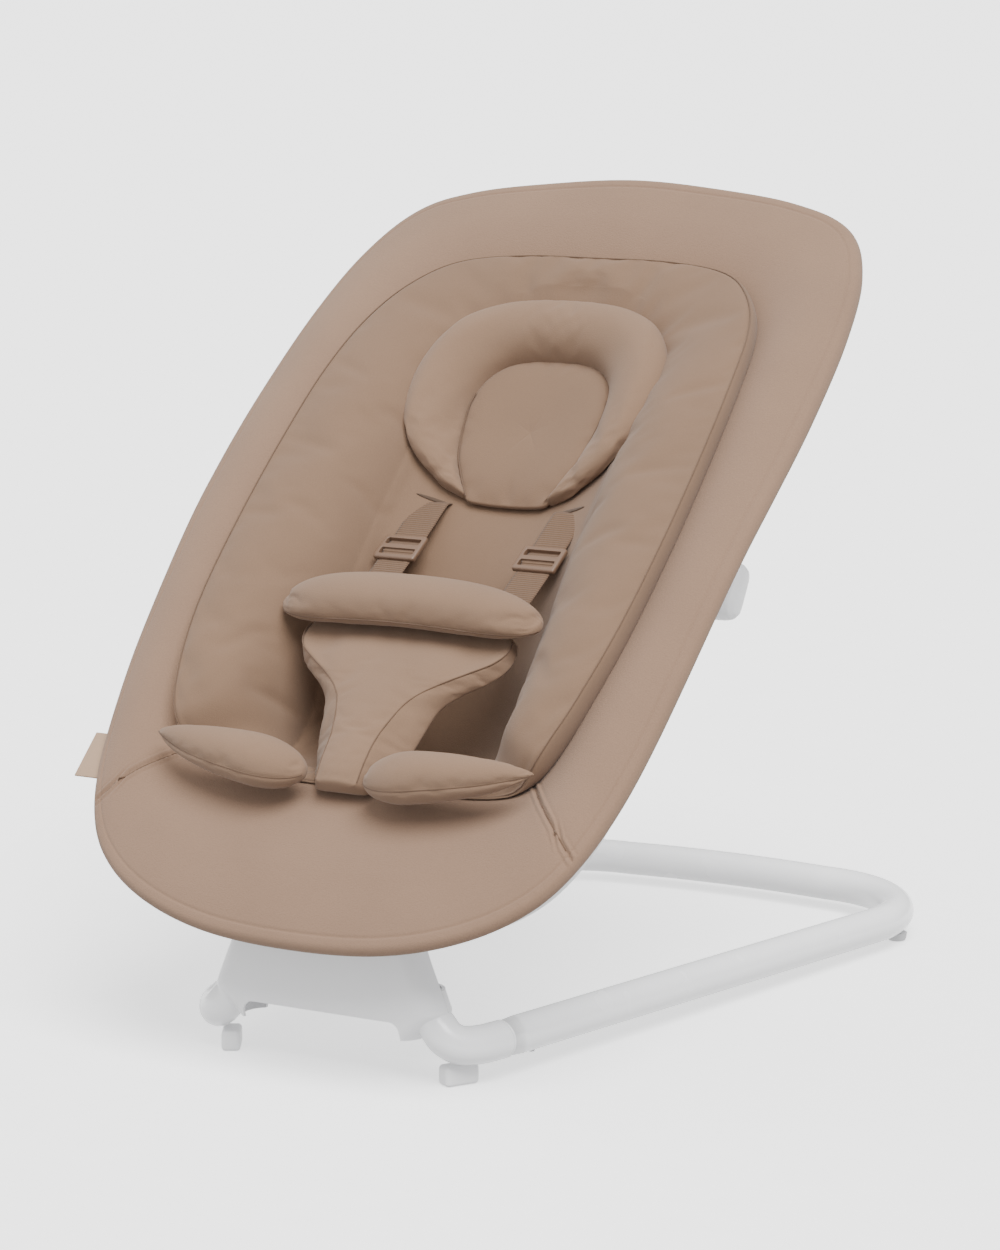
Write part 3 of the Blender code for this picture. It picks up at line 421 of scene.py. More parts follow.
class Finish:
    """A procedural material over the piece's own coordinates."""

    def __init__(self, name):
        """Starts a material with a plain principled shader."""
        self.material = bpy.data.materials.new(name)
        self.material.use_nodes = True
        self.tree = self.material.node_tree
        self.shader = self.tree.nodes["Principled BSDF"]

    def node(self, kind, inputs, output=0, **settings):
        """Adds a shader node, fills its inputs and gives one of its outputs."""
        made = self.tree.nodes.new("ShaderNode" + kind)
        for key, value in settings.items():
            setattr(made, key, value)
        for key, value in inputs.items():
            self.feed(made.inputs[key], value)
        return Wire(self, made.outputs[output])

    def feed(self, socket, value):
        """Links a wire to a socket, or sets the socket's constant."""
        if isinstance(value, Wire):
            self.tree.links.new(value.socket, socket)
        else:
            socket.default_value = value

    def place(self):
        """The point's place in the piece's own coordinates, in metres."""
        return self.node("TexCoord", {}, "Object")

    def noise(self, scale, detail=2.0, where=None):
        """Smooth noise from 0 to 1, scale being its cells per metre."""
        inputs = {"Vector": where or self.place(), "Scale": scale, "Detail": detail}
        return self.node("TexNoise", inputs, "Fac")

    def ramp(self, amount, low, high):
        """A colour between two, the change kept to the middle of the range."""
        made = self.tree.nodes.new("ShaderNodeValToRGB")
        made.color_ramp.elements[0].color, made.color_ramp.elements[1].color = (*low, 1), (*high, 1)
        made.color_ramp.elements[0].position, made.color_ramp.elements[1].position = 0.3, 0.7
        self.feed(made.inputs["Fac"], amount)
        return Wire(self, made.outputs["Color"])

    def bump(self, height, distance, strength=1.0):
        """Raises the surface's shading by a height, distance being the height's scale in metres."""
        self.feed(self.shader.inputs["Normal"],
                  self.node("Bump", {"Height": height, "Distance": distance, "Strength": strength}, "Normal"))

    def set(self, **values):
        """Sets shader inputs by name, with underscores for spaces."""
        for key, value in values.items():
            self.feed(self.shader.inputs[key.replace("_", " ")], value)
        return self


def shades(colour, spread):
    """A colour a little darker and a little lighter than the one given."""
    return tuple(c * (1 - spread) for c in colour), tuple(min(c * (1 + spread), 1) for c in colour)


def knit(name, colour, grain, depth):
    """A soft matte knit: a fine grain of loops, and slow changes of shade."""
    f = Finish(name)
    loops = f.noise(grain, 3.0)
    slow = f.noise(14.0, 3.0)
    f.feed(f.shader.inputs["Base Color"], f.ramp(loops * 0.55 + slow * 0.45, *shades(colour, 0.075)))
    f.bump(loops, depth)
    f.set(Roughness=0.94, Specular_IOR_Level=0.2, Sheen_Weight=0.12, Sheen_Roughness=0.6)
    return f.material


def webbing(name, colour):
    """Woven strap with ribs across it."""
    f = Finish(name)
    along = f.node("SeparateXYZ", {0: f.node("TexCoord", {}, "UV")}, "Y")
    ribs = (along * (2 * math.pi / 0.0022)).math("SINE") * 0.5 + 0.5
    thread = f.noise(1800.0, 1.0)
    f.feed(f.shader.inputs["Base Color"], f.ramp(ribs * 0.7 + thread * 0.3, *shades(colour, 0.16)))
    f.bump(ribs + thread * 0.25, 0.0004)
    f.set(Roughness=0.8, Specular_IOR_Level=0.25, Sheen_Weight=0.1)
    return f.material


def hard(name, colour, roughness, metallic=0.0, coat=0.0, texture=0.00001):
    """A moulded or painted finish with a very slight texture."""
    f = Finish(name)
    slow = f.noise(30.0, 2.0)
    f.feed(f.shader.inputs["Base Color"], f.ramp(slow, *shades(colour, 0.012)))
    f.feed(f.shader.inputs["Roughness"], slow * 0.08 + (roughness - 0.04))
    f.bump(f.noise(1400.0, 2.0), texture)
    f.set(Metallic=metallic, Coat_Weight=coat, Coat_Roughness=0.15)
    return f.material


RIM_KNIT = knit("rim_knit", (.229, .143, .094), 900.0, 0.00035)
INLAY_KNIT = knit("inlay_knit", (.184, .113, .071), 1300.0, 0.00020)
PAD_KNIT = knit("pad_knit", (.212, .132, .084), 1300.0, 0.00020)
WEBBING = webbing("webbing", (.135, .080, .049))
WHITE_PAINT = hard("white_paint", (.94, .94, .95), 0.26, coat=0.4)
WHITE_PLASTIC = hard("white_plastic", (.90, .90, .91), 0.42, texture=0.00003)
STEEL = hard("dark_steel", (.18, .18, .19), 0.38, metallic=0.9)
RUBBER = hard("grey_rubber", (.64, .64, .65), 0.7, texture=0.00006)
BUCKLE = hard("taupe_plastic", (.155, .093, .060), 0.38, texture=0.00003)
LABEL = knit("label_cloth", (.36, .245, .165), 1300.0, 0.0001)
# Darker than the fabric: partly the thread's own colour, partly painted shade of the seam valleys it lies in.
THREAD_AND_SEAM_SHADE = knit("seam_thread_and_shade", (.128, .077, .048), 1300.0, 0.0001)
# Painted shade: a near-black knit for the disc that stands for the shadow inside each strap slot.
SLOT_PAINTED_SHADE = knit("slot_painted_shade", (.080, .051, .034), 1300.0, 0.0002)


def place(obj, body, finish, stands_for=()):
    """Gives a piece its finish, its body and the nodes that it stands for."""
    obj.data.materials.clear()
    obj.data.materials.append(finish)
    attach(obj, body)
    if stands_for:
        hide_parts(*stands_for)
    return obj


# ---------------------------------------------------------------- floor base
def make_floor_tube():
    """The U-shaped tube: two rails that spread to the rear, two corners and a bowed rear bar."""
    rail = np.linspace(SEAM, RAIL_END, 26)[:-1]
    turn = np.radians(np.linspace(-7, 90, 40))
    corner = np.stack([CORNER_MIDDLE[0] + CORNER_R * np.cos(turn), CORNER_MIDDLE[1] + CORNER_R * np.sin(turn),
                       np.linspace(RAIL_END[2], REAR_Z, len(turn))], axis=1)
    bow_x = np.linspace(CORNER_MIDDLE[0], 0, 14)[1:]
    rise = REAR_MIDDLE_Y - corner[-1, 1]
    bow = np.stack([bow_x, REAR_MIDDLE_Y - rise * (bow_x / CORNER_MIDDLE[0]) ** 2, np.full(13, REAR_Z)], 1)
    half = np.vstack([rail, corner, bow])
    path = np.vstack([half, half[-2::-1] * (-1, 1, 1)]) + BASE_SHIFT
    place(tube("base_tube", path, TUBE_R), "base", WHITE_PAINT, ["floor_tube"])


def make_elbow(side, name):
    """A bent tube from the neck down to the rail."""
    way = (np.array(RAIL_END) - SEAM) / np.linalg.norm(np.array(RAIL_END) - SEAM)
    path = spline(ELBOW_PATH, 30)
    path[-1] -= GAP * way
    path = np.vstack([path[0] - np.array(ELBOW_TOP_WAY) * 0.012, path])
    elbow = tube(f"base_elbow_{name}", (path + BASE_SHIFT) * (side, 1, 1), TUBE_R,
                 first=np.array(ELBOW_TOP_WAY) * (side, 1, 1), last=way * (side, 1, 1))
    place(elbow, "base", WHITE_PAINT, [f"elbow_{name}"])


def make_feet(side, name):
    """The moulded blade under the elbow and the low round pad under the rear corner."""
    angle = -side * math.radians(FOOT_FRONT_TURN)
    c, k = math.cos(angle), math.sin(angle)
    middle = np.array(FOOT_FRONT_AT) * (side, 1, 1) + BASE_SHIFT
    foot = rounded_box(f"base_foot_front_{name}", FOOT_FRONT_SIZE, middle, 0.0032,
                       ((c, -k, 0), (k, c, 0), (0, 0, 1)))
    place(foot, "base", WHITE_PLASTIC, [f"foot_front_{name}"])
    turn = np.linspace(0, 2 * math.pi, 40, endpoint=False)
    x, y = FOOT_REAR_AT
    rings = [np.column_stack([side * x + r * np.cos(turn), y + r * np.sin(turn), np.full(40, z)])
             for r, z in FOOT_REAR_PROFILE]
    foot = surface(f"base_foot_rear_{name}", np.array(rings) + BASE_SHIFT, sharp=50)
    place(foot, "base", RUBBER, [f"foot_rear_{name}"])


def half_shell(middle, half_width, half_depth, wall, toward, count=40):
    """Half of a stadium outline with a wall, as (x, d) pairs."""
    arc = np.linspace(0, math.pi / 2, count // 2 + 1)
    outer = np.array([(half_width - half_depth * (1 - math.cos(a)), half_depth * math.sin(a)) for a in arc])
    deep, wide = half_depth - wall, half_width - wall
    inner = np.array([(wide - deep * (1 - math.cos(a)), deep * math.sin(a)) for a in arc])
    left, back_left = outer[::-1] * (-1, 1), inner[::-1] * (-1, 1)
    loop = np.vstack([outer, left, back_left[::-1], inner[::-1]])
    return np.stack([loop[:, 0], middle + toward * (loop[:, 1] + GAP / 2)], axis=1)


def capped(name, loops, sharp=35):
    """A body through equal loops of points with flat ends."""
    loops = np.asarray(loops, float)
    rows, cols = loops.shape[:2]
    index = np.arange(rows * cols).reshape(rows, cols)
    index = np.hstack([index, index[:, :1]])
    quads = np.stack([index[:-1, :-1], index[:-1, 1:], index[1:, 1:], index[1:, :-1]], -1).reshape(-1, 4)
    faces = quads.tolist() + [index[0, :-1][::-1].tolist(), index[-1, :-1].tolist()]
    return make_object(name, loops.reshape(-1, 3), faces, sharp)


def make_neck():
    """The two covers that wrap the elbows' upper ends, with the arch between the elbows."""
    for name, toward, top in (("front", -1, NECK_LEVELS[-1]), ("rear", 1, NECK_LEVELS[3])):
        levels = np.linspace(NECK_LEVELS[0], top, 41)
        widths = np.interp(levels, NECK_LEVELS, NECK_HALF_WIDTHS)
        widths = np.convolve(np.pad(widths, 2, mode="edge"), (.12, .22, .32, .22, .12), "valid")
        loops = []
        for z, width in zip(levels, widths):
            flat = half_shell(NECK_Y, width, NECK_HALF_DEPTH, NECK_WALL, toward)
            loops.append(np.column_stack([flat, np.full(len(flat), z)]))
        cover = capped(f"neck_{name}", np.array(loops) + BASE_SHIFT)
        width, height = NECK_ARCH
        arch = rounded_box("arch", (width, 0.08, 0.04), np.array((0, NECK_Y, height - 0.02)) + BASE_SHIFT,
                           0.0085, segments=8)
        carve(cover, [arch])
        soften(cover, 0.0010, 40)
        place(cover, "base", WHITE_PLASTIC, [f"neck_{name}_cover"])


# ---------------------------------------------------------------- arm, hub and handle
def make_arm():
    """Two covers round a spring leaf, from the neck up to the hub."""
    path = spline(ARM_PATH, 60) + BASE_SHIFT[1:]
    along = np.linspace(0, 1, 60)
    knots = np.linspace(0, 1, len(ARM_HALF_WIDTHS))
    widths = spline(np.column_stack([knots, ARM_HALF_WIDTHS]), 200)
    depths = np.interp(along, knots, ARM_HALF_DEPTHS)
    widths = np.interp(along, widths[:, 0], widths[:, 1])
    tangent = np.gradient(path, axis=0)
    tangent /= np.linalg.norm(tangent, axis=1)[:, None]
    normal = np.stack([-tangent[:, 1], tangent[:, 0]], axis=1)
    for name, toward in (("upper", 1), ("lower", -1)):
        loops = []
        for point, n, width, depth in zip(path, normal, widths, depths):
            flat = half_shell(0.0, width, depth, ARM_WALL, toward, 24)
            out = flat[:, 1:]
            loops.append(np.column_stack([flat[:, :1], point[0] + n[0] * out, point[1] + n[1] * out]))
        cover = soften(capped(f"arm_{name}", loops), 0.0008, 40)
        place(cover, "support_arm", WHITE_PLASTIC, [f"arm_{name}_cover"])


def make_handle():
    """The release bar behind the hub, with rounded lobes that stick out past the seat's back."""
    middle = to_row(HANDLE_AT)
    lean = SEAT_TILT + math.radians(HANDLE_LEAN)
    long_way = np.array((0, math.cos(lean), math.sin(lean)))
    thick_way = np.array((0, -math.sin(lean), math.cos(lean)))
    knots = np.array(HANDLE_KNOTS)
    x = np.concatenate([np.linspace(0, .10, 12), np.linspace(.103, .145, 20), .145 + .006 * np.sin(
        np.linspace(0, math.pi / 2, 12))[1:]])
    x = np.concatenate([-x[:0:-1], x])
    scale = np.interp(np.abs(x), knots[:, 0], knots[:, 1])
    smooth = np.convolve(np.pad(scale, 2, mode="edge"), (.1, .2, .4, .2, .1), "valid")
    scale = np.where(np.abs(x) < .143, smooth, scale)
    turn = np.linspace(0, 2 * math.pi, 48, endpoint=False)
    rings = []
    for place_x, size in zip(x, scale):
        long_half, thick_half = 0.0235 - 0.012 * (1 - size), 0.0118 * size
        along = thick_half * np.cos(turn) + (long_half - thick_half) * np.tanh(4 * np.cos(turn))
        rings.append(middle + np.outer(along, long_way) + np.outer(thick_half * np.sin(turn), thick_way)
                     + (place_x, 0, 0))
    place(surface("release_handle", np.array(rings)), "recline_handle", WHITE_PLASTIC,
          ["recline_handle"])


# ---------------------------------------------------------------- bucket and cover
def stations(count, dense_at=(), spread=0.012, step=0.0006):
    """Fractions of a full turn, evenly spaced, with close rows near some of them."""
    even = np.linspace(0, 1, count, endpoint=False)
    for at in dense_at:
        even = even[np.abs(even - at) > spread + step]
        even = np.concatenate([even, np.linspace(at - spread, at + spread, round(2 * spread / step))])
    return np.sort(even)


def make_shell():
    """The moulded bucket: the seat well and the flared rim in one wall, its rim rounded. A skirt hangs below
    the rim at both front corners and fades along it as a bell curve."""
    turn = stations(256)
    middle, edge = np.array(NEST_MIDDLE), loop_at(INLAY, turn)
    rings = []
    for share in np.linspace(0.03, 1, 30):
        flat = middle + share * (edge - middle)
        rings.append(np.column_stack([flat, bowl_height(flat[:, 0], flat[:, 1])]))
    rings += [flare(turn, t) for t in np.linspace(0.08, 0.90, 12)]
    top = np.array(rings)
    half = SHELL_WALL / 2
    lip = [flare(turn, 1.0, RIM_ROUND, -half + half * math.sin(a)) for a in (math.pi / 2, 0.6, 0.0, -0.6)]
    front = np.minimum(turn, 1 - turn)
    skirt = SKIRT_DEPTH * bump_at(front - SKIRT_AT, SKIRT_REACH)
    for inset, share in ((.0046, .35), (.0048, .70), (.0056, .92), (.0070, 1.0), (.0095, 1.0), (.0160, .80)):
        lip.append(flare(turn, 1.0, inset, -SHELL_WALL) - np.outer(share * skirt, (0, 0, 1)))
    below = top - (0, 0, SHELL_WALL)
    reach = np.linspace(0, 1, len(top)) ** 8
    below[..., 2] -= 0.55 * skirt * reach[:, None]
    points = np.concatenate([top, lip, below[::-1]])
    place(surface("bucket_shell", to_row(points)), "seat", WHITE_PLASTIC, ["seat_shell"])


def distance_to(path, x, s):
    """The distance of points from a line through the given (x, s) points."""
    line = spline(path, 24)
    best = np.full(x.shape, 1.0)
    for (x0, s0), (x1, s1) in zip(line[:-1], line[1:]):
        run = (x1 - x0) ** 2 + (s1 - s0) ** 2
        t = np.clip(((x - x0) * (x1 - x0) + (s - s0) * (s1 - s0)) / run, 0, 1)
        best = np.minimum(best, np.hypot(x - x0 - t * (x1 - x0), s - s0 - t * (s1 - s0)))
    return best


def make_cover():
    """The outer fabric: it lies on the flare, turns round the rim and ends in a hem underneath. Each side
    has a seam from the leg cushion's tip to the rim, stitched down on both sides of its valley."""
    turn = stations(420, dense_at=(0.1045, 0.8955), spread=0.0135)
    rows = [flare(turn, t, 0, GAP + COVER_THICK) for t in np.linspace(-0.10, 0.56, 18)]
    rows += [flare(turn, 1.0, inset, GAP + COVER_THICK) for inset in HEM_INSETS]
    above = len(rows)
    middle, half = -0.00165, 0.00495
    for a in np.linspace(math.pi / 2, -math.pi / 2, 15)[1:-1]:
        rows.append(flare(turn, 1.0, RIM_ROUND * (1 - math.cos(a)), middle + half * math.sin(a)))
    under = middle - half
    rows += [flare(turn, 1.0, inset, under) for inset in (.0045, .0075, .0105, .0135)]
    rows += [flare(turn, 1.0, .0143, under + COVER_THICK / 2), flare(turn, 1.0, .0138, under + COVER_THICK)]
    rows += [flare(turn, 1.0, inset, under + COVER_THICK) for inset in (.0085, .0042)]
    rows += [flare(turn, 1.0, .0036, -0.0015), flare(turn, 1.0, .0042, GAP)]
    rows += [flare(turn, t, 0, GAP) for t in np.linspace(0.86, -0.10, 14)]
    points = np.array(rows)
    top = points[:above]
    x, s = np.abs(top[..., 0]), top[..., 1]
    seam = distance_to(SIDE_SEAM, x, s)
    top[..., 2] -= 0.0022 * bump_at(seam, 0.0016) + 0.0008 * bump_at(seam - 0.0046, 0.0010)
    top[..., 2] += 0.0010 * bump_at(seam - 0.0028, 0.0015)
    rim = loop_at(RIM, turn)[None]
    inward = np.linalg.norm(top[..., :2] - rim, axis=-1)
    top[..., 2] -= 0.0007 * bump_at(inward - 0.0096, 0.0009)
    girth = turn * 2.02
    pucker = np.sin(girth * 2 * math.pi / 0.013) * np.sin(girth * 2 * math.pi / 0.071 + 1.0)
    top[..., 2] += 0.00022 * pucker[None] * bump_at(inward - 0.0060, 0.0050)
    cover = surface("seat_outer_cover", to_row(points), wrap_rows=True)
    place(cover, "seat", RIM_KNIT, ["seat_cover"])
    for side, name in ((-1, "left"), (1, "right")):
        line = spline(SIDE_SEAM, 40)[1:-9]
        gaps = np.hypot(x.ravel()[:, None] - line[:, 0], s.ravel()[:, None] - line[:, 1])
        height = top[..., 2].ravel()[gaps.argmin(axis=0)]
        path = np.column_stack([side * line[:, 0], line[:, 1], height + 0.0002])
        seam_line(f"cover_seam_{name}", path[2:], "seat")


def make_inlay():
    """The padded nest: a trough up to a crease, a bolster's steep soft foot, a nearly flat top out to a
    stitched edge, and a gusset down to the cover. The bolster climbs as 1 - (1 - t) ** 4.5, t being the share
    of the way from the crease to the edge."""
    turn = stations(220)
    edge, crease = loop_at(NEST_EDGE, turn), loop_at(CREASE, turn)
    middle = np.array(NEST_MIDDLE)
    rings = []
    for share in np.concatenate([np.linspace(0.04, 0.9, 16), (0.95, 0.985)]):
        flat = middle + share * (crease - middle)
        rings.append(np.column_stack([flat, nest_height(flat[:, 0], flat[:, 1])]))
    foot, high = crease_height(crease[:, 1]), inlay_edge(edge[:, 1])
    for t in BOLSTER_STEPS:
        flat = crease + (edge - crease) * t
        climb = 1 - (1 - t) ** 4.5
        crown = 0.0035 * math.sin(math.pi * t) * t
        rings.append(np.column_stack([flat, foot + (high - foot) * climb + crown]))
    seam_row = len(rings) - 1
    outward = (edge - crease) / np.linalg.norm(edge - crease, axis=1)[:, None]
    low = shell_edge(edge[:, 1]) + GAP + COVER_THICK
    for t in (.06, .15, .28, .42, .58, .72, .85, .95, 1.0):
        flat = edge + outward * 0.0024 * math.sin(math.pi * t) ** 0.6
        rings.append(np.column_stack([flat, high + (low - 0.0015 - high) * t]))
    for share in (.97, .9, .75, .55, .35, .15, .04):
        flat = middle + share * (edge - middle)
        rings.append(np.column_stack([flat, bowl_height(flat[:, 0], flat[:, 1]) + 0.0012]))
    points = np.array(rings)
    inlay = surface("inlay_cushion", to_row(points))
    count = len(turn)
    held = np.zeros(len(inlay.data.vertices), bool)
    held[(seam_row - 1) * count:] = True
    held[: 16 * count] = True
    puff(inlay, held, 0.0035)
    finer(inlay)
    place(inlay, "seat", INLAY_KNIT, ["inlay_pad"])
    make_piping(turn, edge, high)


def seam_line(name, points, body):
    """A fine line of thread sunk in a seam, along points of the seat frame. Its colour is darker than the
    fabric: partly the thread's own, partly painted shade of the seam's valley.
    """
    path = to_row(spline(points, 90))
    place(tube(name, path, 0.0006, sides=8, edge=0.0003), body, THREAD_AND_SEAM_SHADE)


def make_piping(turn, edge, high):
    """The stitched ridge along the inlay's top edge, in the seam colour that is partly painted shade."""
    line = np.column_stack([edge, high + 0.0003])
    back = np.roll(line, 1, axis=0)
    tangent = np.roll(line, -1, axis=0) - back
    tangent /= np.linalg.norm(tangent, axis=1)[:, None]
    side = np.cross(tangent, (0, 0, 1.0))
    side /= np.linalg.norm(side, axis=1)[:, None]
    up = np.cross(side, tangent)
    angle = np.linspace(0, 2 * math.pi, 12, endpoint=False)
    rings = line[:, None] + 0.0006 * (side[:, None] * np.cos(angle)[None, :, None]
                                      + up[:, None] * np.sin(angle)[None, :, None])
    ridge = surface("inlay_edge_seam", to_row(rings), wrap_rows=True)
    place(ridge, "seat", THREAD_AND_SEAM_SHADE)


# ---------------------------------------------------------------- soft goods
def make_leg_cushion(side, name):
    """An almond-shaped pad: a rounded inner end that grows as a quarter circle, a pointed outer tip, and a
    seam along its front."""
    t = (0.5 - 0.5 * np.cos(np.linspace(0.0, math.pi, 60)))[1:-1]
    line = spline(LEG_SPINE, 200)
    at = t * 199
    middle = np.stack([np.interp(at, np.arange(200), line[:, k]) for k in range(3)], axis=1)
    full = np.sqrt(1 - (1 - np.minimum(t / 0.32, 1)) ** 2) * (1 - t**2.3) ** 0.78
    wide, high, deep = 0.0205 * full, 0.0172 * full, 0.0172 * full
    phi = np.linspace(0, 2 * math.pi, 40, endpoint=False)
    front = np.angle(np.exp(1j * (phi - math.pi * 0.87)))
    swell = 1 + 0.045 * bump_at(front, 0.30) - 0.035 * bump_at(front, 0.07)
    rings = []
    for p, w, u, d in zip(middle, wide, high, deep):
        c, k = np.cos(phi) * swell, np.sin(phi) * swell
        rings.append(np.column_stack([np.full(40, p[0]), p[1] + w * c, p[2] + np.where(k > 0, u, d) * k]))
    points = np.array(rings) * (side, 1, 1)
    pad = surface(f"leg_pad_{name}", to_row(points))
    held = np.zeros(len(pad.data.vertices), bool)
    seam_column = int(np.argmin(np.abs(front)))
    held[:-2].reshape(len(t), 40)[:, seam_column] = True
    held[:40 * 2] = held[-2 - 40 * 2:] = True
    puff(pad, held, 0.0030)
    finer(pad)
    place(pad, "seat", PAD_KNIT, [f"leg_cushion_{name}"])
    seam_line(f"leg_pad_seam_{name}", points[2:-1, seam_column], "seat")


def make_pillow():
    """The head pillow: a horseshoe roll between two outlines, and the thin panel that it surrounds."""
    count = 72
    outer, inner = (spline(p, count, mirror=False) for p in (PILLOW_OUTER, PILLOW_INNER))
    outer, inner = (np.vstack([p, p[-2::-1] * (-1, 1)]) for p in (outer, inner))
    middle, spread = (outer + inner) / 2, (outer - inner) / 2
    share = np.linspace(0, 1, len(middle))
    full = np.clip(np.sin(math.pi * share), 0, 1) ** 0.38
    phi = np.linspace(0, 2 * math.pi, 36, endpoint=False)
    rings = []
    for m, d, f in list(zip(middle, spread, full))[1:-1]:
        flat = m + np.outer(np.cos(phi), d * (0.985 if f > 0.5 else 1))
        base = nest_height(flat[:, 0], flat[:, 1]) + 0.0050
        lift = np.where(np.sin(phi) > 0, 0.0215 * f * np.abs(np.sin(phi)) ** 0.85, 0.0045 * np.sin(phi))
        rings.append(np.column_stack([flat, base + lift]))
    points = np.array(rings)
    roll = surface("pillow_roll", to_row(points))
    held = np.zeros(len(roll.data.vertices), bool)
    grid = held[:-2].reshape(len(rings), 36)
    grid[:, [0, 18]] = True
    grid[:3] = grid[-3:] = True
    puff(roll, held, 0.0030)
    finer(roll)
    place(roll, "head_pillow", PAD_KNIT, ["head_pillow_roll"])

    for side, name in ((1, "right"), (-1, "left")):
        run = spline(PILLOW_INNER, 60)[:34] * (side, 1)
        seam_line(f"pillow_seam_{name}", np.column_stack([run, nest_height(run[:, 0], run[:, 1]) + 0.0088]),
                  "head_pillow")
    seam = inner[::2]
    bottom_x = np.linspace(seam[-1, 0], seam[0, 0], 16)[1:-1]
    bottom = np.column_stack([bottom_x, np.full(14, seam[0, 1] - 0.001)])
    outline = np.vstack([seam, bottom])
    centre = np.array(PILLOW_CENTRE)
    top, under = [], []
    for share in (.04, .15, .3, .45, .6, .72, .82, .9, .95, .98, 1.0):
        flat = centre + (outline - centre) * share * 1.03
        floor = nest_height(flat[:, 0], flat[:, 1])
        top.append(np.column_stack([flat, floor + 0.0065 + 0.0055 * (1 - share**4)]))
        under.append(np.column_stack([flat, floor + 0.0030]))
    points = np.concatenate([np.array(top), np.array(under)[::-1]])
    panel = surface("pillow_panel", to_row(points))
    held = np.zeros(len(panel.data.vertices), bool)
    held[9 * len(outline):] = True
    puff(panel, held, 0.0015)
    finer(panel)
    place(panel, "head_pillow", INLAY_KNIT, ["head_pillow_panel"])


def make_straps(side, name):
    """A shoulder strap that comes out of its slot, its adjuster, and a thin dark disc of painted shade over
    the slot's opening.
    """
    line = spline(STRAP_LINE, 70)
    line[:, 1] += 0.0026 * bump_at(line[:, 0] - ADJUSTER[0], 0.0042)
    tangent = np.gradient(line, axis=0)
    tangent /= np.linalg.norm(tangent, axis=1)[:, None]
    normal = np.stack([-tangent[:, 1], tangent[:, 0]], axis=1) * -1
    half, thick = STRAP_WIDTH / 2, 0.0008
    x = np.concatenate([np.linspace(-half, half, 14), np.linspace(half, -half, 14)])
    d = np.concatenate([np.full(14, thick), np.full(14, -thick)])
    d[[0, 13, 14, 27]] *= 0.35
    rings = [np.column_stack([side * STRAP_X + x, p[0] + d * n[0], p[1] + d * n[1]])
             for p, n in zip(line, normal)]
    along = np.concatenate([[0], np.cumsum(np.linalg.norm(np.diff(line, axis=0), axis=1))])
    uv = np.stack([np.broadcast_to(x, (70, 28)), np.broadcast_to(along[:, None], (70, 28))], axis=-1)
    strap = surface(f"strap_webbing_{name}", to_row(np.array(rings)), uv=uv)
    place(strap, "seat", WEBBING, [f"shoulder_strap_{name}"])

    run = math.atan2(STRAP_LINE[5][1] - STRAP_LINE[3][1], STRAP_LINE[3][0] - STRAP_LINE[5][0])
    lean = SEAT_TILT - run
    axes = np.array(((1, 0, 0), (0, math.cos(lean), -math.sin(lean)), (0, math.sin(lean), math.cos(lean))))
    middle = to_row((side * STRAP_X, *ADJUSTER))
    body = rounded_box(f"adjuster_frame_{name}", (0.036, 0.026, 0.0046), middle, 0.0019, axes)
    cutters = [rounded_box("window", (0.0292, 0.0066, 0.02), middle + axes @ np.array((0, row * 0.0056, 0)),
                           0.0012, axes, 3) for row in (-1, 1)]
    soften(carve(body, cutters), 0.0005, 40, 2)
    place(body, f"adjuster_{name}", BUCKLE, [f"strap_adjuster_{name}"])

    # The slot's opening is drawn as a thin dark disc lying on the padding: painted shade for the shadow
    # inside it.
    phi = np.linspace(0, 2 * math.pi, 40, endpoint=False)
    rings = []
    for size, rise in ((.1, .0006), (.5, .0006), (.9, .0005), (1.0, .0), (.9, -.0016), (.1, -.0016)):
        flat = np.column_stack([side * STRAP_X + SLOT_HALF[0] * size * np.cos(phi),
                                SLOT_AT + SLOT_HALF[1] * size * np.sin(phi)])
        rings.append(np.column_stack([flat, nest_height(flat[:, 0], flat[:, 1]) + rise + 0.0004]))
    place(surface(f"painted_slot_shade_{name}", to_row(np.array(rings))), "seat", SLOT_PAINTED_SHADE)


def make_belly_pad():
    """A crescent pad: rounded above, its ends blunt, with a seam edge along its lower front."""
    t = np.sin(np.linspace(-math.pi / 2, math.pi / 2, 66))[1:-1]
    full = np.maximum(1 - np.abs(t) ** 4.2, 0) ** 0.52
    phi = np.linspace(0, 2 * math.pi, 44, endpoint=False)
    seam = np.angle(np.exp(1j * (phi - math.pi * 0.93)))
    swell = 1 + 0.07 * bump_at(seam, 0.30) - 0.030 * bump_at(seam, 0.07)
    rings = []
    for a, f in zip(t, full):
        c, k = np.cos(phi) * swell, np.sin(phi) * swell
        s = 0.2870 - 0.005 * a * a + 0.0215 * f * c
        h = 0.0290 - 0.006 * a * a + np.where(k > 0, 0.0205 * f, 0.0095 * f) * np.sign(k) * np.abs(k) ** 0.9
        rings.append(np.column_stack([np.full(44, 0.1095 * a), s, h]))
    pad = surface("belly_cushion", to_row(np.array(rings)))
    held = np.zeros(len(pad.data.vertices), bool)
    held[:-2].reshape(len(t), 44)[:, int(np.argmin(np.abs(seam)))] = True
    held[:88] = held[-90:] = True
    puff(pad, held, 0.0020)
    finer(pad)
    place(pad, "harness", PAD_KNIT, ["belly_pad"])
    seam_line("belly_seam", np.array(rings)[2:-2, int(np.argmin(np.abs(seam)))], "harness")


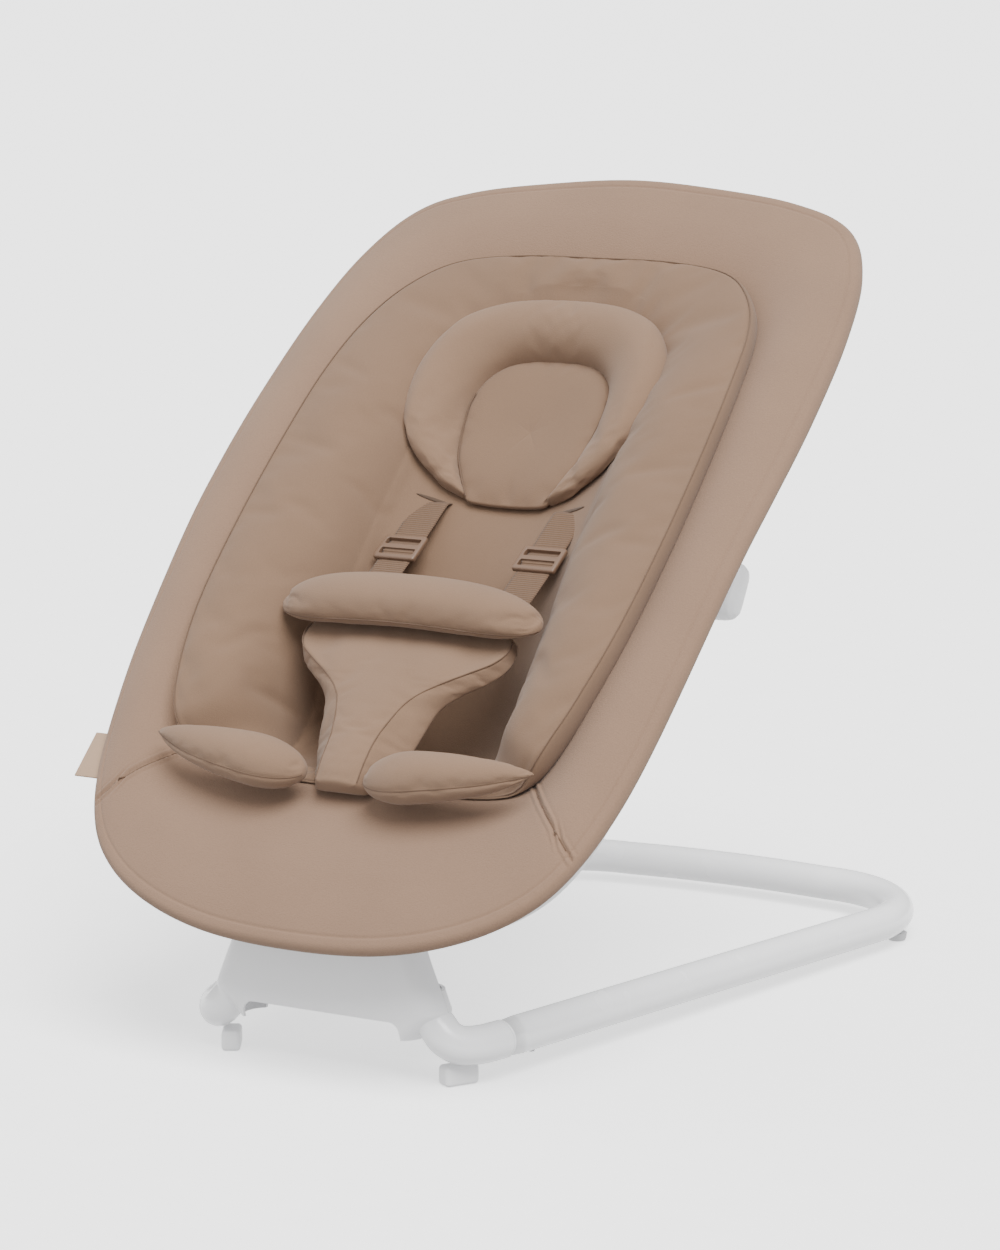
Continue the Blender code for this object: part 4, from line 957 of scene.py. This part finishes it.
def make_crotch_pad():
    """A pad that narrows to the front: a slightly domed face between two seams, and a gusset each side."""
    knots = np.array(CROTCH)
    dense = spline(knots, 70)
    rings = []
    for s, h, front, back, deep in dense:
        face = np.linspace(front, -front, 19)
        face_h = h + deep * 0.5 + 0.0030 * (1 - (face / front) ** 2) - 0.0004
        side = np.linspace(0, 1, 7)[1:]
        out = front + (back - front) * side**0.8
        down = h + deep * (0.5 - 0.92 * side)
        under = np.linspace(-back + 0.004, back - 0.004, 11)
        x = np.concatenate([face, -out, under, out[::-1]])
        z = np.concatenate([face_h, down, np.full(11, h - deep * 0.5), down[::-1]])
        ridge = np.zeros(len(x))
        ridge[[0, 18]] = 0.0007
        rings.append(np.column_stack([x + np.sign(x) * ridge, np.full(len(x), s), z + ridge]))
    points = np.array(rings)
    pad = surface("crotch_cushion", to_row(points))
    cols = points.shape[1]
    held = np.zeros(len(pad.data.vertices), bool)
    grid = held[:-2].reshape(len(rings), cols)
    grid[:, [0, 18]] = True
    grid[:, 25:36] = True
    grid[:2] = grid[-2:] = True
    puff(pad, held, 0.0020)
    finer(pad)
    place(pad, "harness", PAD_KNIT, ["crotch_pad"])
    seam_line("crotch_seam_right", points[2:-1, 0] - (0, 0, 0.0004), "harness")
    seam_line("crotch_seam_left", points[2:-1, 18] - (0, 0, 0.0004), "harness")


def make_tag():
    """A small blank folded label sewn under the rim at the left."""
    x = -(np.interp(TAG_AT, [p[1] for p in RIM[:9]], [p[0] for p in RIM[:9]]) + TAG_OUT)
    axes = to_row(np.eye(3)) - SEAT_LIP
    middle = to_row((x, TAG_AT, rim_height(TAG_AT) - 0.0030))
    label = rounded_box("side_label", TAG_SIZE, middle, 0.0007, axes.T, 3)
    place(label, "seat", LABEL)


# ---------------------------------------------------------------- the frame's own pieces
def finish_frame_pieces():
    """Gives the small pieces that are shown as they are their finishes and softened edges."""
    kinds = ((("snap_button", "neck_screw", "bracket_screw", "recline_axle", "lock_pin", "neck_cross_tube",
               "arm_spring_leaf", "arm_clamp"), STEEL, "dark_steel", 0.0003),
             (("seat_bracket", "recline_hub"), WHITE_PLASTIC, "white_plastic", 0.0009),
             (("strap_clip",), BUCKLE, "taupe_plastic", 0.0004))
    for node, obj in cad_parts.items():
        if obj.hide_render:
            continue
        for starts, finish, slot, width in kinds:
            if node.startswith(starts):
                obj.data.materials.clear()
                obj.data.materials.append(finish)
                soften(obj, width, 38, 2)


# ---------------------------------------------------------------- studio
def make_studio():
    """A pale floor, soft light from above and a little to the right, and the camera."""
    bpy.ops.mesh.primitive_plane_add(size=600)
    floor = bpy.context.object
    floor.name = "studio_floor"
    pale = hard("floor_white", (.93, .93, .93), 0.9)
    pale.node_tree.nodes["Principled BSDF"].inputs["Emission Color"].default_value = (1, 1, 1, 1)
    pale.node_tree.nodes["Principled BSDF"].inputs["Emission Strength"].default_value = 1.0
    floor.data.materials.append(pale)
    floor.visible_diffuse = False
    world = bpy.data.worlds.new("studio")
    bpy.context.scene.world = world
    world.use_nodes = True
    world.node_tree.nodes["Background"].inputs["Color"].default_value = (1, 1, 1, 1)
    world.node_tree.nodes["Background"].inputs["Strength"].default_value = 0.85
    for name, toward, strength, softness in SUNS:
        light = bpy.data.lights.new(name, "SUN")
        light.energy, light.angle = strength, math.radians(softness)
        lamp = bpy.data.objects.new(name, light)
        bpy.context.scene.collection.objects.link(lamp)
        lamp.location = (0, 0, 3)
        lamp.rotation_euler = Vector(toward).to_track_quat("-Z", "Y").to_euler()
    camera = bpy.data.cameras.new("camera")
    camera.lens, camera.sensor_width = CAMERA_LENS, 36
    camera.clip_start = 0.1
    view = bpy.data.objects.new("camera", camera)
    bpy.context.scene.collection.objects.link(view)
    view.location = CAMERA_AT
    view.rotation_euler = (math.radians(CAMERA_PITCH), 0, math.radians(CAMERA_HEADING))
    bpy.context.scene.camera = view


make_floor_tube()
make_neck()
make_arm()
make_handle()
make_shell()
make_cover()
make_inlay()
make_pillow()
for side, name in ((-1, "left"), (1, "right")):
    make_elbow(side, name)
    make_feet(side, name)
    make_leg_cushion(side, name)
    make_straps(side, name)
make_belly_pad()
make_crotch_pad()
make_tag()
finish_frame_pieces()
make_studio()
